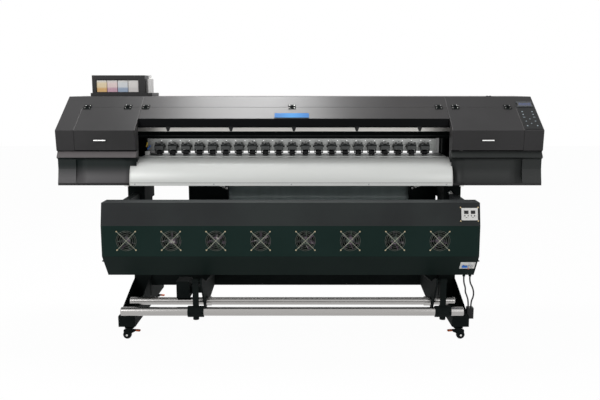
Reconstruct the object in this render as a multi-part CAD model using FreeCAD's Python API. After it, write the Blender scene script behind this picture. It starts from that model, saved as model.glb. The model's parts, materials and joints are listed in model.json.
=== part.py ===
"""Wide roll-fed printer cutter on a castored stand, written as separate sub-parts.

Millimetres.  +X is the operator's right, +Y the back, +Z up; the origin is on the floor,
under the middle of the whole machine.
"""
import FreeCAD, Part
import math
import os

from FreeCAD import Vector

# ---------------------------------------------------------------- overall layout
MACHINE_WIDTH = 2850.0       # over both side cabinets
BED_CENTRE_X = -35.0         # middle of the print bed and of the stand
LEG_SPACING = 1950.0         # between the middles of the two legs
FRONT_Y = -210.0             # front face of the side cabinets
CLEAR = 0.3                  # running gap between curved faces of different bodies
SHAFT_CLEAR = 0.05           # radial gap of a shaft in its bore

# ---------------------------------------------------------------- casters
WHEEL_RADIUS = 25.0
WHEEL_WIDTH = 18.0
WHEEL_AXLE_RADIUS = 4.0
CASTER_TRAIL = 14.0          # wheel axle behind the swivel stem
CROWN_REACH = 34.0           # half the width of the fork's crown
CHEEK_REACH = 14.0           # half the width of a fork cheek at the axle
CASTER_PLATE = 4.0
FORK_WALL = 2.5
FORK_GAP = 1.0               # between the wheel and each fork cheek
STEM_RADIUS = 9.0
CASTER_FRONT_Y = -310.0
CASTER_REAR_Y = 410.0
PEDAL_REACH = 62.0           # from the swivel stem to the tip of the brake pedal
PEDAL_WIDTH = 24.0
PEDAL_THICK = 4.0

# ---------------------------------------------------------------- stand
FOOT_BOTTOM = 92.0
FOOT_HEIGHT = 64.0
FOOT_WIDTH = 98.0
FOOT_OVERHANG = 60.0         # foot beyond each caster stem
LEG_WIDTH = 104.0
LEG_FRONT_Y = 60.0
LEG_DEPTH = 130.0
LEG_WALL = 4.0
GUSSET_THICK = 4.0
GUSSET_TOP = 275.0
GUSSET_FRONT_Y = -325.0
GUSSET_KNEE_Y = -18.0
HEAD_FRONT_Y = -20.0
HEAD_BACK_Y = 250.0
HEAD_HEIGHT = 120.0
BEAM_BOTTOM = 217.0
BEAM_HEIGHT = 95.0
BEAM_DEPTH = 70.0
BEAM_FRONT_Y = 80.0
BEAM_WALL = 4.0

# ---------------------------------------------------------------- chassis and print bed
CHASSIS_BOTTOM = 897.0
CHASSIS_FRONT_Y = -20.0
CHASSIS_BACK_Y = 230.0
CHASSIS_WALL = 5.0
BED_TOP = 1062.0
BED_THICK = 12.0
BED_FRONT_Y = -34.0
BED_BACK_Y = 200.0
BED_SLOT_GAP = 2.0           # around the drive roller
DRIVE_RADIUS = 12.0
DRIVE_PROUD = 2.7            # top of the drive roller above the bed
DRIVE_Y = 45.0
DRIVE_JOURNAL_RADIUS = 8.0
GUIDE_THICK = 3.0
GUIDE_BOTTOM = 904.0
GUIDE_FLANGE_TOP = 922.0
GUIDE_FRONT_Y = -222.0
GUIDE_END_THICK = 6.0

# ---------------------------------------------------------------- carriage guide and pinch row
RAIL_BEAM_FRONT_Y = 140.0
RAIL_BEAM_DEPTH = 60.0
RAIL_BEAM_BOTTOM = 1159.0
RAIL_BEAM_HEIGHT = 131.0
RAIL_BEAM_WALL = 4.0
RAIL_Z = 1214.0
RAIL_HEIGHT = 24.0
RAIL_DEPTH = 12.0
STRIP_Z = 1173.0
STRIP_HEIGHT = 6.0
STRIP_THICK = 1.0
PINCH_PITCH = 82.3
PINCH_OFFSET = -14.0         # pinch row from the middle between the cabinets
PINCH_WIDTH = 53.0
PINCH_RADIUS = 13.5
PINCH_AXLE_RADIUS = 3.0
PINCH_ROLLER_LENGTH = 36.0
PINCH_BEAM_FRONT_Y = 92.0
PINCH_BEAM_THICK = 6.0
PINCH_BEAM_TOP = 1159.0
PINCH_BEAM_BOTTOM = 1082.0
PINCH_HOLE_RADIUS = 3.0
PINCH_HOLE_DROP = 12.0       # below the top of the pinch beam
PINCH_HOLE_PITCH = 58.0
ARM_CHEEK = 4.0
ARM_TOP = 1130.0
ARM_EAR_TOP = 1141.0
ARM_EAR_WIDTH = 12.0
ARM_FRONT_Y = 16.0
ARM_PIVOT_Y = 84.0
ARM_PIVOT_Z = 1112.0
ARM_PIVOT_RADIUS = 4.0
CARRIAGE_WIDTH = 230.0
CARRIAGE_HOME_X = 1095.0
CARRIAGE_TOP = 1232.0
CARRIAGE_BEAM_GAP = 3.0      # carriage underside above the pinch beam
CARRIAGE_NOZZLE_GAP = 3.0    # print heads above the bed
CARRIAGE_FRONT_Y = -92.0
CARRIAGE_HEAD_BACK_Y = 8.0
LEVER_LENGTH = 110.0
LEVER_WIDTH = 10.0

# ---------------------------------------------------------------- side cabinets
LEFT_INNER_X = -962.0
RIGHT_INNER_X = 892.0
LEFT_SEAM_X = -1319.0
RIGHT_SEAM_X = 1311.0
CABINET_WALL = 3.0
CABINET_BOTTOM = 904.0
CABINET_TOP = 1420.0
CABINET_BACK_Y = 440.0
CABINET_REAR_BOTTOM = 930.0
PANEL_RECESS = 52.0          # depth of the hollow lower front
PANEL_LIP = 16.0
LEDGE_BOTTOM = 1069.0
LEDGE_TOP = 1102.0
LID_GAP = 1.5
LID_WALL = 3.0
LID_BOTTOM = 1111.0
LID_LEAN = 10.0
LID_FRONT_TOP = 1227.0
SLOPE_ANGLE = 33.7
HINGE_Y = -15.0
HINGE_PIN_RADIUS = 2.5
HINGE_KNUCKLE_RADIUS = 5.0
HINGE_LEAF = 3.0
HINGE_WIDTH = 44.0
HINGE_LEAF_REACH = 20.0
LEFT_HINGE_OUTER = 33.0      # hinges of the left lid, from the cabinet seam
LEFT_HINGE_INNER = 79.0      # and from the inner cabinet wall
RIGHT_HINGE_INNER = 49.0     # hinges of the right lid, from the inner cabinet wall
RIGHT_HINGE_OUTER = 53.0     # and from the cabinet seam
BAY_OPEN_TOP = 1262.0        # carriage opening in the inner cabinet walls
BAY_OPEN_FRONT_Y = -120.0
BAY_OPEN_BACK_Y = 206.0
BAY_OPEN_BOTTOM = 1040.0
HANDLE_LENGTH = 70.0
HANDLE_RADIUS = 4.0
HANDLE_STAND_OFF = 14.0
HANDLE_Z = 1170.0
LEFT_HANDLE_X = -1165.0
RIGHT_HANDLE_X = 1098.0

# ---------------------------------------------------------------- front cover and rear cover
COVER_FRONT_Y = -112.0
COVER_SKIRT_DROP = 48.0
COVER_WALL = 3.0
COVER_HINGE_LEFT = 29.0      # outer cover hinges, from the inner cabinet walls
COVER_HINGE_RIGHT = 51.0
CATCH_COUNT = 5
CATCH_PITCH = 375.0
CATCH_TOP_WIDTH = 30.0
CATCH_TIP_WIDTH = 12.0
CATCH_DROP = 27.0            # below the skirt
BADGE_CENTRE_X = -48.0
BADGE_WIDTH = 205.0
BADGE_HEIGHT = 46.0
BADGE_THICK = 3.0
BADGE_RISE = 4.0             # lower edge of the badge above the cover's front edge

# ---------------------------------------------------------------- ink station
RACK_LEFT_X = -1326.0
RACK_RIGHT_X = -990.0
RACK_FRONT_Y = 225.0
RACK_BACK_Y = 400.0
RACK_TOP = 1552.0
RACK_WALL = 5.0
RACK_WINDOW_BOTTOM = 1447.0
RACK_HEADER = 29.0           # rack front above its window
TANK_COUNT = 4
TANK_GAP = 4.0
BOTTLE_RADIUS = 22.0
BOTTLE_HEIGHT = 118.0

# ---------------------------------------------------------------- control panel
PANEL_LEFT_X = 1316.0
PANEL_WIDTH = 102.0
PANEL_FROM_EDGE = 12.0       # lower edge of the panel, up the slope from the front edge
PANEL_LENGTH = 280.0
PANEL_THICK = 2.0
DISPLAY_WIDTH = 86.0
DISPLAY_LENGTH = 34.0
DISPLAY_THICK = 3.0
DISPLAY_FROM_TOP = 14.0

# ---------------------------------------------------------------- dryer
DRYER_LEFT_X = -1101.0
DRYER_RIGHT_X = 1003.0
DRYER_TOP = 842.0
DRYER_BACK_Y = -350.0
DRYER_TOP_FRONT_Y = -460.0
DRYER_BREAK_Z = 717.0
DRYER_FACE_Y = -490.0
DRYER_FACE_BOTTOM = 543.0
DRYER_BOTTOM = 408.0
DRYER_BOTTOM_Y = -380.0
DRYER_WALL = 2.0
FAN_COUNT = 8
FAN_PITCH = 249.0
FAN_FIRST_X = -962.0
FAN_Z = 632.0
FAN_SIZE = 120.0
FAN_DEPTH = 38.0
FAN_BORE = 57.0
FAN_HOLE_SPACING = 105.0
HUB_RADIUS = 20.0
BLADE_COUNT = 7
BLADE_TIP = 55.0
BLADE_THICK = 2.0
BLADE_ANGLE = 32.0
GUARD_WIRE = 1.5
GUARD_RINGS = (12.0, 24.0, 36.0, 48.0, 56.0)
SOCKET_X = 943.0
SOCKET_Z = 780.0
SOCKET_WIDTH = 90.0
SOCKET_HEIGHT = 68.0
SOCKET_THICK = 8.0
BREAKER_X = 951.0
BREAKER_Z = 480.0
BREAKER_WIDTH = 72.0
BREAKER_HEIGHT = 46.0
BREAKER_DEPTH = 60.0
TOGGLE_WIDTH = 30.0
TOGGLE_HEIGHT = 14.0
TOGGLE_REACH = 12.0

# ---------------------------------------------------------------- take-up, dancer bar and media roll
TAKE_UP_Y = -310.0
TAKE_UP_Z = 231.0
TAKE_UP_RADIUS = 22.5
TAKE_UP_LEFT_X = -997.0
TAKE_UP_RIGHT_X = 913.0
UNIT_LEFT_X = -560.0
UNIT_RIGHT_X = 772.0
UNIT_PLATE = 10.0
MOTOR_LEFT_X = -719.0
MOTOR_RIGHT_X = -642.0
MOTOR_BOTTOM = 258.0
MOTOR_TOP = 358.0
MOTOR_FRONT_Y = -345.0
MOTOR_BACK_Y = -240.0
DANCER_Y = -458.0
DANCER_Z = 215.0
DANCER_RADIUS = 25.0
DANCER_LEFT_X = -1015.0
DANCER_RIGHT_X = 931.0
DANCER_PIVOT_Y = DANCER_Y
DANCER_PIVOT_Z = 394.0
ARM_LEFT_X = -589.0
ARM_RIGHT_X = 815.0
ARM_WIDTH = 34.0
ARM_THICK = 8.0
COLLAR_LENGTH = 90.0
COLLAR_WALL = 7.0
DANCER_PIN_RADIUS = 6.0
ROLL_Y = 380.0
ROLL_Z = 745.0
ROLL_RADIUS = 113.0
ROLL_LEFT_X = -472.0
ROLL_RIGHT_X = 711.0
SPINDLE_RADIUS = 24.0
HOLDER_LEFT_X = -729.0
HOLDER_RIGHT_X = 885.0
HOLDER_FRONT_Y = 230.0
HOLDER_BACK_Y = 430.0
HOLDER_BOTTOM = 690.0
HOLDER_TOP = 850.0
HOLDER_RAIL = 40.0
HOLDER_WALL = 6.0

# ---------------------------------------------------------------- cables at the right leg
CABLE_RADIUS = 4.5
OUTER_CABLE = [
    (985.0, -365.0, 396.0), (985.0, -365.0, 362.0), (1004.0, -352.0, 330.0), (1018.0, -334.0, 296.0),
    (1022.0, -316.0, 258.0), (1013.0, -300.0, 226.0), (1013.0, -300.0, 190.0),
]
INNER_CABLE = [
    (950.0, -365.0, 396.0), (950.0, -365.0, 360.0), (964.0, -356.0, 326.0), (968.0, -336.0, 294.0),
    (984.0, -318.0, 262.0), (997.0, -300.0, 226.0), (997.0, -300.0, 190.0),
]
GLAND_RADIUS = 8.0
PLUG_BOX_WIDTH = 37.0
PLUG_BOX_DEPTH = 40.0
PLUG_BOX_BOTTOM = 125.0
PLUG_BOX_TOP = 190.0
PLUG_BOX_Y = -300.0

# ---------------------------------------------------------------- worked out from the values above
LEFT_LEG_X = BED_CENTRE_X - LEG_SPACING / 2
RIGHT_LEG_X = BED_CENTRE_X + LEG_SPACING / 2
HALF_WIDTH = MACHINE_WIDTH / 2
FOOT_TOP = FOOT_BOTTOM + FOOT_HEIGHT
FOOT_FRONT_Y = CASTER_FRONT_Y - FOOT_OVERHANG
FOOT_BACK_Y = CASTER_REAR_Y + FOOT_OVERHANG
BED_BOTTOM = BED_TOP - BED_THICK
DRIVE_Z = BED_TOP + DRIVE_PROUD - DRIVE_RADIUS
PINCH_Y = DRIVE_Y
PINCH_Z = DRIVE_Z + DRIVE_RADIUS + CLEAR + PINCH_RADIUS
PINCH_COUNT = int((RIGHT_INNER_X - LEFT_INNER_X) / PINCH_PITCH) - 1
PINCH_FIRST_X = (LEFT_INNER_X + RIGHT_INNER_X - (PINCH_COUNT - 1) * PINCH_PITCH) / 2 + PINCH_OFFSET
SLOPE = math.tan(math.radians(SLOPE_ANGLE))
SLOPE_TOP_Y = FRONT_Y + (CABINET_TOP - LID_FRONT_TOP) / SLOPE
HINGE_Z = LID_FRONT_TOP + (HINGE_Y - FRONT_Y) * SLOPE
AXIS_X = Vector(1, 0, 0)
AXIS_Y = Vector(0, 1, 0)
AXIS_Z = Vector(0, 0, 1)


# ---------------------------------------------------------------- small helpers
def block(x0, x1, y0, y1, z0, z1):
    """Rectangular block between the given planes."""
    return Part.makeBox(x1 - x0, y1 - y0, z1 - z0, Vector(x0, y0, z0))


def hollow_block(x0, x1, y0, y1, z0, z1, wall):
    """Closed box section with the same wall all round."""
    return block(x0, x1, y0, y1, z0, z1).cut(
        block(x0 + wall, x1 - wall, y0 + wall, y1 - wall, z0 + wall, z1 - wall))


def rod_x(x0, x1, y, z, radius):
    return Part.makeCylinder(radius, x1 - x0, Vector(x0, y, z), AXIS_X)


def rod_y(x, y0, y1, z, radius):
    return Part.makeCylinder(radius, y1 - y0, Vector(x, y0, z), AXIS_Y)


def rod_z(x, y, z0, z1, radius):
    return Part.makeCylinder(radius, z1 - z0, Vector(x, y, z0), AXIS_Z)


def prism_x(points, x0, x1):
    """Solid with the (y, z) outline given, from x0 to x1."""
    corners = [Vector(x0, y, z) for y, z in points]
    face = Part.Face(Part.makePolygon(corners + corners[:1]))
    return face.extrude(Vector(x1 - x0, 0, 0))


def prism_y(points, y0, y1):
    """Solid with the (x, z) outline given, from y0 to y1."""
    corners = [Vector(x, y0, z) for x, z in points]
    face = Part.Face(Part.makePolygon(corners + corners[:1]))
    return face.extrude(Vector(0, y1 - y0, 0))


def fused(shapes):
    """One solid from touching or overlapping pieces."""
    shape = shapes[0]
    if len(shapes) > 1:
        shape = shape.multiFuse(shapes[1:])
    return shape.removeSplitter()


def tube_x(x0, x1, y, z, outer, inner):
    return rod_x(x0, x1, y, z, outer).cut(rod_x(x0 - 1, x1 + 1, y, z, inner))


def on_slope(y, lift=0.0):
    """Point (y, z) of the sloped top at depth y, raised square to it by lift."""
    angle = math.radians(SLOPE_ANGLE)
    z = LID_FRONT_TOP + (y - FRONT_Y) * SLOPE
    return (y - lift * math.sin(angle), z + lift * math.cos(angle))


def save(name, shapes):
    """Write one node; a list of shapes stays a group of separate solids."""
    solids = []
    for shape in shapes if isinstance(shapes, list) else [shapes]:
        solids += shape.Solids
    whole = solids[0] if len(solids) == 1 else Part.makeCompound(solids)
    whole.exportStep(os.path.join("parts", name + ".step"))


# ---------------------------------------------------------------- casters
CASTERS = {
    "front_left": (LEFT_LEG_X, CASTER_FRONT_Y, 1),
    "front_right": (RIGHT_LEG_X, CASTER_FRONT_Y, -1),
    "rear_left": (LEFT_LEG_X, CASTER_REAR_Y, 1),
    "rear_right": (RIGHT_LEG_X, CASTER_REAR_Y, -1),
}


def caster_wheel(x, y, side):
    """Wheel that rolls sideways; its axle is fixed to the fork and runs front to back."""
    axle_x = x - side * CASTER_TRAIL
    tyre = rod_y(axle_x, y - WHEEL_WIDTH / 2, y + WHEEL_WIDTH / 2, WHEEL_RADIUS, WHEEL_RADIUS)
    bore = rod_y(axle_x, y - WHEEL_WIDTH, y + WHEEL_WIDTH, WHEEL_RADIUS,
                 WHEEL_AXLE_RADIUS + SHAFT_CLEAR)
    return tyre.cut(bore)


def caster_fork(x, y, side):
    """Swivel stem, crown, two cheeks, axle and the brake pedal as one welded piece."""
    axle_x = x - side * CASTER_TRAIL
    inner = WHEEL_WIDTH / 2 + FORK_GAP
    outer = inner + FORK_WALL
    crown_bottom = 2 * WHEEL_RADIUS + 2 * FORK_GAP
    crown_top = FOOT_BOTTOM - CASTER_PLATE - CLEAR
    crown_low = crown_bottom + FORK_WALL
    cheek = [(axle_x - CHEEK_REACH, WHEEL_RADIUS - 10), (axle_x + CHEEK_REACH, WHEEL_RADIUS - 10),
             (axle_x + CHEEK_REACH + 6, WHEEL_RADIUS + 8), (x + CROWN_REACH, crown_bottom - 6),
             (x + CROWN_REACH, crown_low), (x - CROWN_REACH, crown_low),
             (x - CROWN_REACH, crown_bottom - 6), (axle_x - CHEEK_REACH - 6, WHEEL_RADIUS + 8)]
    pieces = [prism_y(cheek, y - outer, y - inner), prism_y(cheek, y + inner, y + outer)]
    pieces.append(block(x - CROWN_REACH, x + CROWN_REACH, y - outer, y + outer, crown_bottom, crown_low))
    pieces.append(rod_z(x, y, crown_bottom, crown_top, 2 * STEM_RADIUS))
    pieces.append(rod_z(x, y, crown_top, FOOT_BOTTOM + 20, STEM_RADIUS))
    pieces.append(rod_y(axle_x, y - outer - FORK_WALL, y + outer + FORK_WALL, WHEEL_RADIUS,
                        WHEEL_AXLE_RADIUS))
    tip_x = x + side * PEDAL_REACH
    pedal = [(x, crown_bottom), (x, crown_bottom + PEDAL_THICK + 2),
             (tip_x, crown_bottom - 2), (tip_x, crown_bottom - 2 - PEDAL_THICK)]
    pieces.append(prism_y(pedal, y - PEDAL_WIDTH / 2, y + PEDAL_WIDTH / 2))
    return fused(pieces)


def make_casters():
    for name, (x, y, side) in CASTERS.items():
        save("caster_fork_" + name, caster_fork(x, y, side))
        save("caster_wheel_" + name, caster_wheel(x, y, side))


# ---------------------------------------------------------------- stand
def stand_leg(x):
    """Welded leg: foot tube, tapered gussets, column and the head plate under the chassis."""
    half_foot = FOOT_WIDTH / 2
    half_leg = LEG_WIDTH / 2
    leg_back = LEG_FRONT_Y + LEG_DEPTH
    foot = hollow_block(x - half_foot, x + half_foot, FOOT_FRONT_Y, FOOT_BACK_Y, FOOT_BOTTOM, FOOT_TOP,
                        LEG_WALL)
    column = hollow_block(x - half_leg, x + half_leg, LEG_FRONT_Y, leg_back, FOOT_TOP,
                          CHASSIS_BOTTOM - HEAD_HEIGHT + LEG_WALL, LEG_WALL)
    head = hollow_block(x - half_leg, x + half_leg, HEAD_FRONT_Y, HEAD_BACK_Y,
                        CHASSIS_BOTTOM - HEAD_HEIGHT, CHASSIS_BOTTOM, LEG_WALL)
    gusset = [(GUSSET_FRONT_Y, FOOT_TOP), (leg_back + 120, FOOT_TOP), (leg_back, GUSSET_TOP),
              (LEG_FRONT_Y, GUSSET_TOP), (GUSSET_KNEE_Y, GUSSET_TOP - 20)]
    pieces = [foot, column, head]
    for side in (-half_foot, half_foot - GUSSET_THICK):
        pieces.append(prism_x(gusset, x + side, x + side + GUSSET_THICK))
    leg = fused(pieces)
    for y in (CASTER_FRONT_Y, CASTER_REAR_Y):
        leg = leg.cut(rod_z(x, y, FOOT_BOTTOM - 1, FOOT_BOTTOM + 20 + CLEAR, STEM_RADIUS + SHAFT_CLEAR))
    plate_half = FOOT_WIDTH / 2 - 10
    for y in (CASTER_FRONT_Y, CASTER_REAR_Y):
        plate = block(x - plate_half, x + plate_half, y - plate_half, y + plate_half,
                      FOOT_BOTTOM - CASTER_PLATE, FOOT_BOTTOM)
        leg = leg.fuse(plate.cut(rod_z(x, y, 0, FOOT_TOP, STEM_RADIUS + SHAFT_CLEAR)))
    return leg.removeSplitter()


def make_stand():
    save("left_leg", stand_leg(LEFT_LEG_X))
    save("right_leg", stand_leg(RIGHT_LEG_X))
    left = LEFT_LEG_X + LEG_WIDTH / 2
    right = RIGHT_LEG_X - LEG_WIDTH / 2
    back = BEAM_FRONT_Y + BEAM_DEPTH
    top = BEAM_BOTTOM + BEAM_HEIGHT
    beam = block(left, right, BEAM_FRONT_Y, back, BEAM_BOTTOM, top)
    hollow = block(left - 1, right + 1, BEAM_FRONT_Y + BEAM_WALL, back - BEAM_WALL,
                   BEAM_BOTTOM + BEAM_WALL, top - BEAM_WALL)
    save("stand_beam", beam.cut(hollow))


# ---------------------------------------------------------------- chassis and print bed
CHASSIS_REACH = HALF_WIDTH - 125.0
UPRIGHT_THICK = 15.0
UPRIGHTS = (-CHASSIS_REACH, LEFT_INNER_X - 23, RIGHT_INNER_X + 8, CHASSIS_REACH - UPRIGHT_THICK)
DRIVE_LEFT_X = PINCH_FIRST_X - PINCH_WIDTH
DRIVE_RIGHT_X = PINCH_FIRST_X + (PINCH_COUNT - 1) * PINCH_PITCH + PINCH_WIDTH
BEARING_WIDTH = 12.0
LEVER_PIVOT_Y = 185.0
LEVER_PIVOT_Z = 1110.0
LEVER_PIN_RADIUS = 5.0
LEVER_FACE_X = UPRIGHTS[1] + UPRIGHT_THICK
LEVER_WALL_GAP = 4.0


def drive_slot(grow):
    """Space around the drive roller and its two bearings, up through the bed."""
    reach = DRIVE_RADIUS + BED_SLOT_GAP
    return block(DRIVE_LEFT_X - grow, DRIVE_RIGHT_X + grow, DRIVE_Y - reach, DRIVE_Y + reach,
                 DRIVE_Z - reach, BED_TOP + 1)


def chassis_envelope(x0, x1):
    return block(x0, x1, CHASSIS_FRONT_Y, CHASSIS_BACK_Y, CHASSIS_BOTTOM, BED_BOTTOM)


def make_chassis():
    wall = CHASSIS_WALL
    beam = chassis_envelope(-CHASSIS_REACH, CHASSIS_REACH)
    beam = beam.cut(block(-CHASSIS_REACH - 1, CHASSIS_REACH + 1, CHASSIS_FRONT_Y + wall,
                          CHASSIS_BACK_Y - wall, CHASSIS_BOTTOM + wall, BED_BOTTOM - wall))
    pieces = [beam]
    for x in UPRIGHTS:
        pieces.append(block(x, x + UPRIGHT_THICK, RAIL_BEAM_FRONT_Y,
                            RAIL_BEAM_FRONT_Y + RAIL_BEAM_DEPTH, BED_BOTTOM - wall, RAIL_BEAM_BOTTOM))
    pieces.append(rod_x(LEVER_FACE_X - 1, LEFT_INNER_X + LEVER_WALL_GAP + LEVER_WIDTH + 2, LEVER_PIVOT_Y,
                        LEVER_PIVOT_Z, LEVER_PIN_RADIUS))
    save("chassis_beam", fused(pieces).cut(drive_slot(BEARING_WIDTH)))

    bed = block(LEFT_INNER_X + 1, RIGHT_INNER_X - 1, BED_FRONT_Y, BED_BACK_Y, BED_BOTTOM, BED_TOP)
    for x in UPRIGHTS[1:3]:
        bed = bed.cut(block(x, x + UPRIGHT_THICK, RAIL_BEAM_FRONT_Y,
                            RAIL_BEAM_FRONT_Y + RAIL_BEAM_DEPTH, BED_BOTTOM - 1, BED_TOP + 1))
    bed = bed.cut(drive_slot(0))
    reach = DRIVE_RADIUS + BED_SLOT_GAP
    bearings = []
    for x in (DRIVE_LEFT_X - BEARING_WIDTH, DRIVE_RIGHT_X):
        bearings.append(block(x, x + BEARING_WIDTH, DRIVE_Y - reach, DRIVE_Y + reach,
                              DRIVE_Z - reach, BED_TOP))
    bed = fused([bed] + bearings)
    bore = rod_x(DRIVE_LEFT_X - BEARING_WIDTH - 1, DRIVE_RIGHT_X + BEARING_WIDTH + 1,
                 DRIVE_Y, DRIVE_Z, DRIVE_JOURNAL_RADIUS + SHAFT_CLEAR)
    save("platen", bed.cut(bore))
    roller = fused([
        rod_x(DRIVE_LEFT_X + 1, DRIVE_RIGHT_X - 1, DRIVE_Y, DRIVE_Z, DRIVE_RADIUS),
        rod_x(DRIVE_LEFT_X - BEARING_WIDTH + 1, DRIVE_RIGHT_X + BEARING_WIDTH - 1, DRIVE_Y, DRIVE_Z,
              DRIVE_JOURNAL_RADIUS)])
    save("drive_roller", roller)


# ---------------------------------------------------------------- front paper guide
GUIDE_TOP = BED_TOP - 4.0
GUIDE_ROUND = GUIDE_TOP - GUIDE_FLANGE_TOP
GUIDE_LEFT_X = -1000.0
GUIDE_RIGHT_X = 899.0


def guide_profile(inset, x0, x1):
    """Rolled front: a flat top, a quarter round and a short upright flange."""
    radius = GUIDE_ROUND - inset
    centre_y = GUIDE_FRONT_Y + GUIDE_ROUND
    front = centre_y - radius
    half = math.sqrt(0.5) * radius
    arc = Part.Arc(Vector(x0, front, GUIDE_FLANGE_TOP),
                   Vector(x0, centre_y - half, GUIDE_FLANGE_TOP + half),
                   Vector(x0, centre_y, GUIDE_FLANGE_TOP + radius))
    back = CHASSIS_FRONT_Y + (1.0 if inset else 0.0)
    corners = [Vector(x0, centre_y, GUIDE_TOP - inset), Vector(x0, BED_FRONT_Y - inset, GUIDE_TOP - inset),
               Vector(x0, BED_FRONT_Y - inset, BED_BOTTOM - inset), Vector(x0, back, BED_BOTTOM - inset),
               Vector(x0, back, GUIDE_BOTTOM + inset), Vector(x0, front, GUIDE_BOTTOM + inset),
               Vector(x0, front, GUIDE_FLANGE_TOP)]
    edges = [arc.toShape()]
    edges += [Part.LineSegment(a, b).toShape() for a, b in zip(corners, corners[1:])]
    return Part.Face(Part.Wire(edges)).extrude(Vector(x1 - x0, 0, 0))


def make_guide():
    left = GUIDE_LEFT_X + GUIDE_END_THICK
    right = GUIDE_RIGHT_X - GUIDE_END_THICK
    sheet = guide_profile(0.0, left, right).cut(guide_profile(GUIDE_THICK, left - 1, right + 1))
    ends = [guide_profile(0.0, GUIDE_LEFT_X, left), guide_profile(0.0, right, GUIDE_RIGHT_X)]
    save("paper_guide", [sheet] + ends)


# ---------------------------------------------------------------- carriage guide and pinch row
def rail_beam_envelope(grow):
    return block(-CHASSIS_REACH - 1, CHASSIS_REACH + 1, RAIL_BEAM_FRONT_Y - grow,
                 RAIL_BEAM_FRONT_Y + RAIL_BEAM_DEPTH + grow, RAIL_BEAM_BOTTOM - grow,
                 RAIL_BEAM_BOTTOM + RAIL_BEAM_HEIGHT + grow)


def make_rails():
    wall = RAIL_BEAM_WALL
    back = RAIL_BEAM_FRONT_Y + RAIL_BEAM_DEPTH
    top = RAIL_BEAM_BOTTOM + RAIL_BEAM_HEIGHT
    beam = block(-CHASSIS_REACH, CHASSIS_REACH, RAIL_BEAM_FRONT_Y, back, RAIL_BEAM_BOTTOM, top)
    save("rail_beam", beam.cut(block(-CHASSIS_REACH - 1, CHASSIS_REACH + 1, RAIL_BEAM_FRONT_Y + wall,
                                     back - wall, RAIL_BEAM_BOTTOM + wall, top - wall)))
    save("guide_rail", block(10 - CHASSIS_REACH, CHASSIS_REACH - 10, RAIL_BEAM_FRONT_Y - RAIL_DEPTH,
                             RAIL_BEAM_FRONT_Y, RAIL_Z - RAIL_HEIGHT / 2, RAIL_Z + RAIL_HEIGHT / 2))
    low = STRIP_Z - STRIP_HEIGHT / 2
    high = STRIP_Z + STRIP_HEIGHT / 2
    left = 14 - CHASSIS_REACH
    right = CHASSIS_REACH - 14
    strip = block(left, right, RAIL_BEAM_FRONT_Y - 4 - STRIP_THICK, RAIL_BEAM_FRONT_Y - 4, low, high)
    posts = [block(x, x + 16, RAIL_BEAM_FRONT_Y - 5, RAIL_BEAM_FRONT_Y, low - 3, high + 3)
             for x in (left - 4, right - 12)]
    save("encoder_strip", fused([strip] + posts))


def pinch_places():
    return [PINCH_FIRST_X + i * PINCH_PITCH for i in range(PINCH_COUNT)]


def pinch_arm(x):
    """Fork with two cheeks, a bridge plate and two spring ears."""
    half = PINCH_WIDTH / 2
    side = [(ARM_FRONT_Y, ARM_PIVOT_Z - 16), (ARM_FRONT_Y, ARM_PIVOT_Z + 6), (40, ARM_TOP), (78, ARM_TOP),
            (90, ARM_TOP - 12), (90, ARM_PIVOT_Z - 8), (60, ARM_PIVOT_Z - 22), (52, PINCH_Z - 7),
            (38, PINCH_Z - 7), (30, PINCH_Z + 5)]
    bridge = [(ARM_FRONT_Y, ARM_PIVOT_Z - 14), (ARM_FRONT_Y, ARM_PIVOT_Z + 6), (40, ARM_TOP),
              (78, ARM_TOP), (78, ARM_PIVOT_Z - 6), (30, ARM_PIVOT_Z - 14)]
    pieces = [prism_x(side, x - half, x - half + ARM_CHEEK), prism_x(side, x + half - ARM_CHEEK, x + half),
              prism_x(bridge, x - half + ARM_CHEEK, x + half - ARM_CHEEK)]
    for shift in (-half + 3, half - 3 - ARM_EAR_WIDTH):
        pieces.append(block(x + shift, x + shift + ARM_EAR_WIDTH, 30, 38, ARM_TOP - 6, ARM_EAR_TOP))
    return pieces


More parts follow.
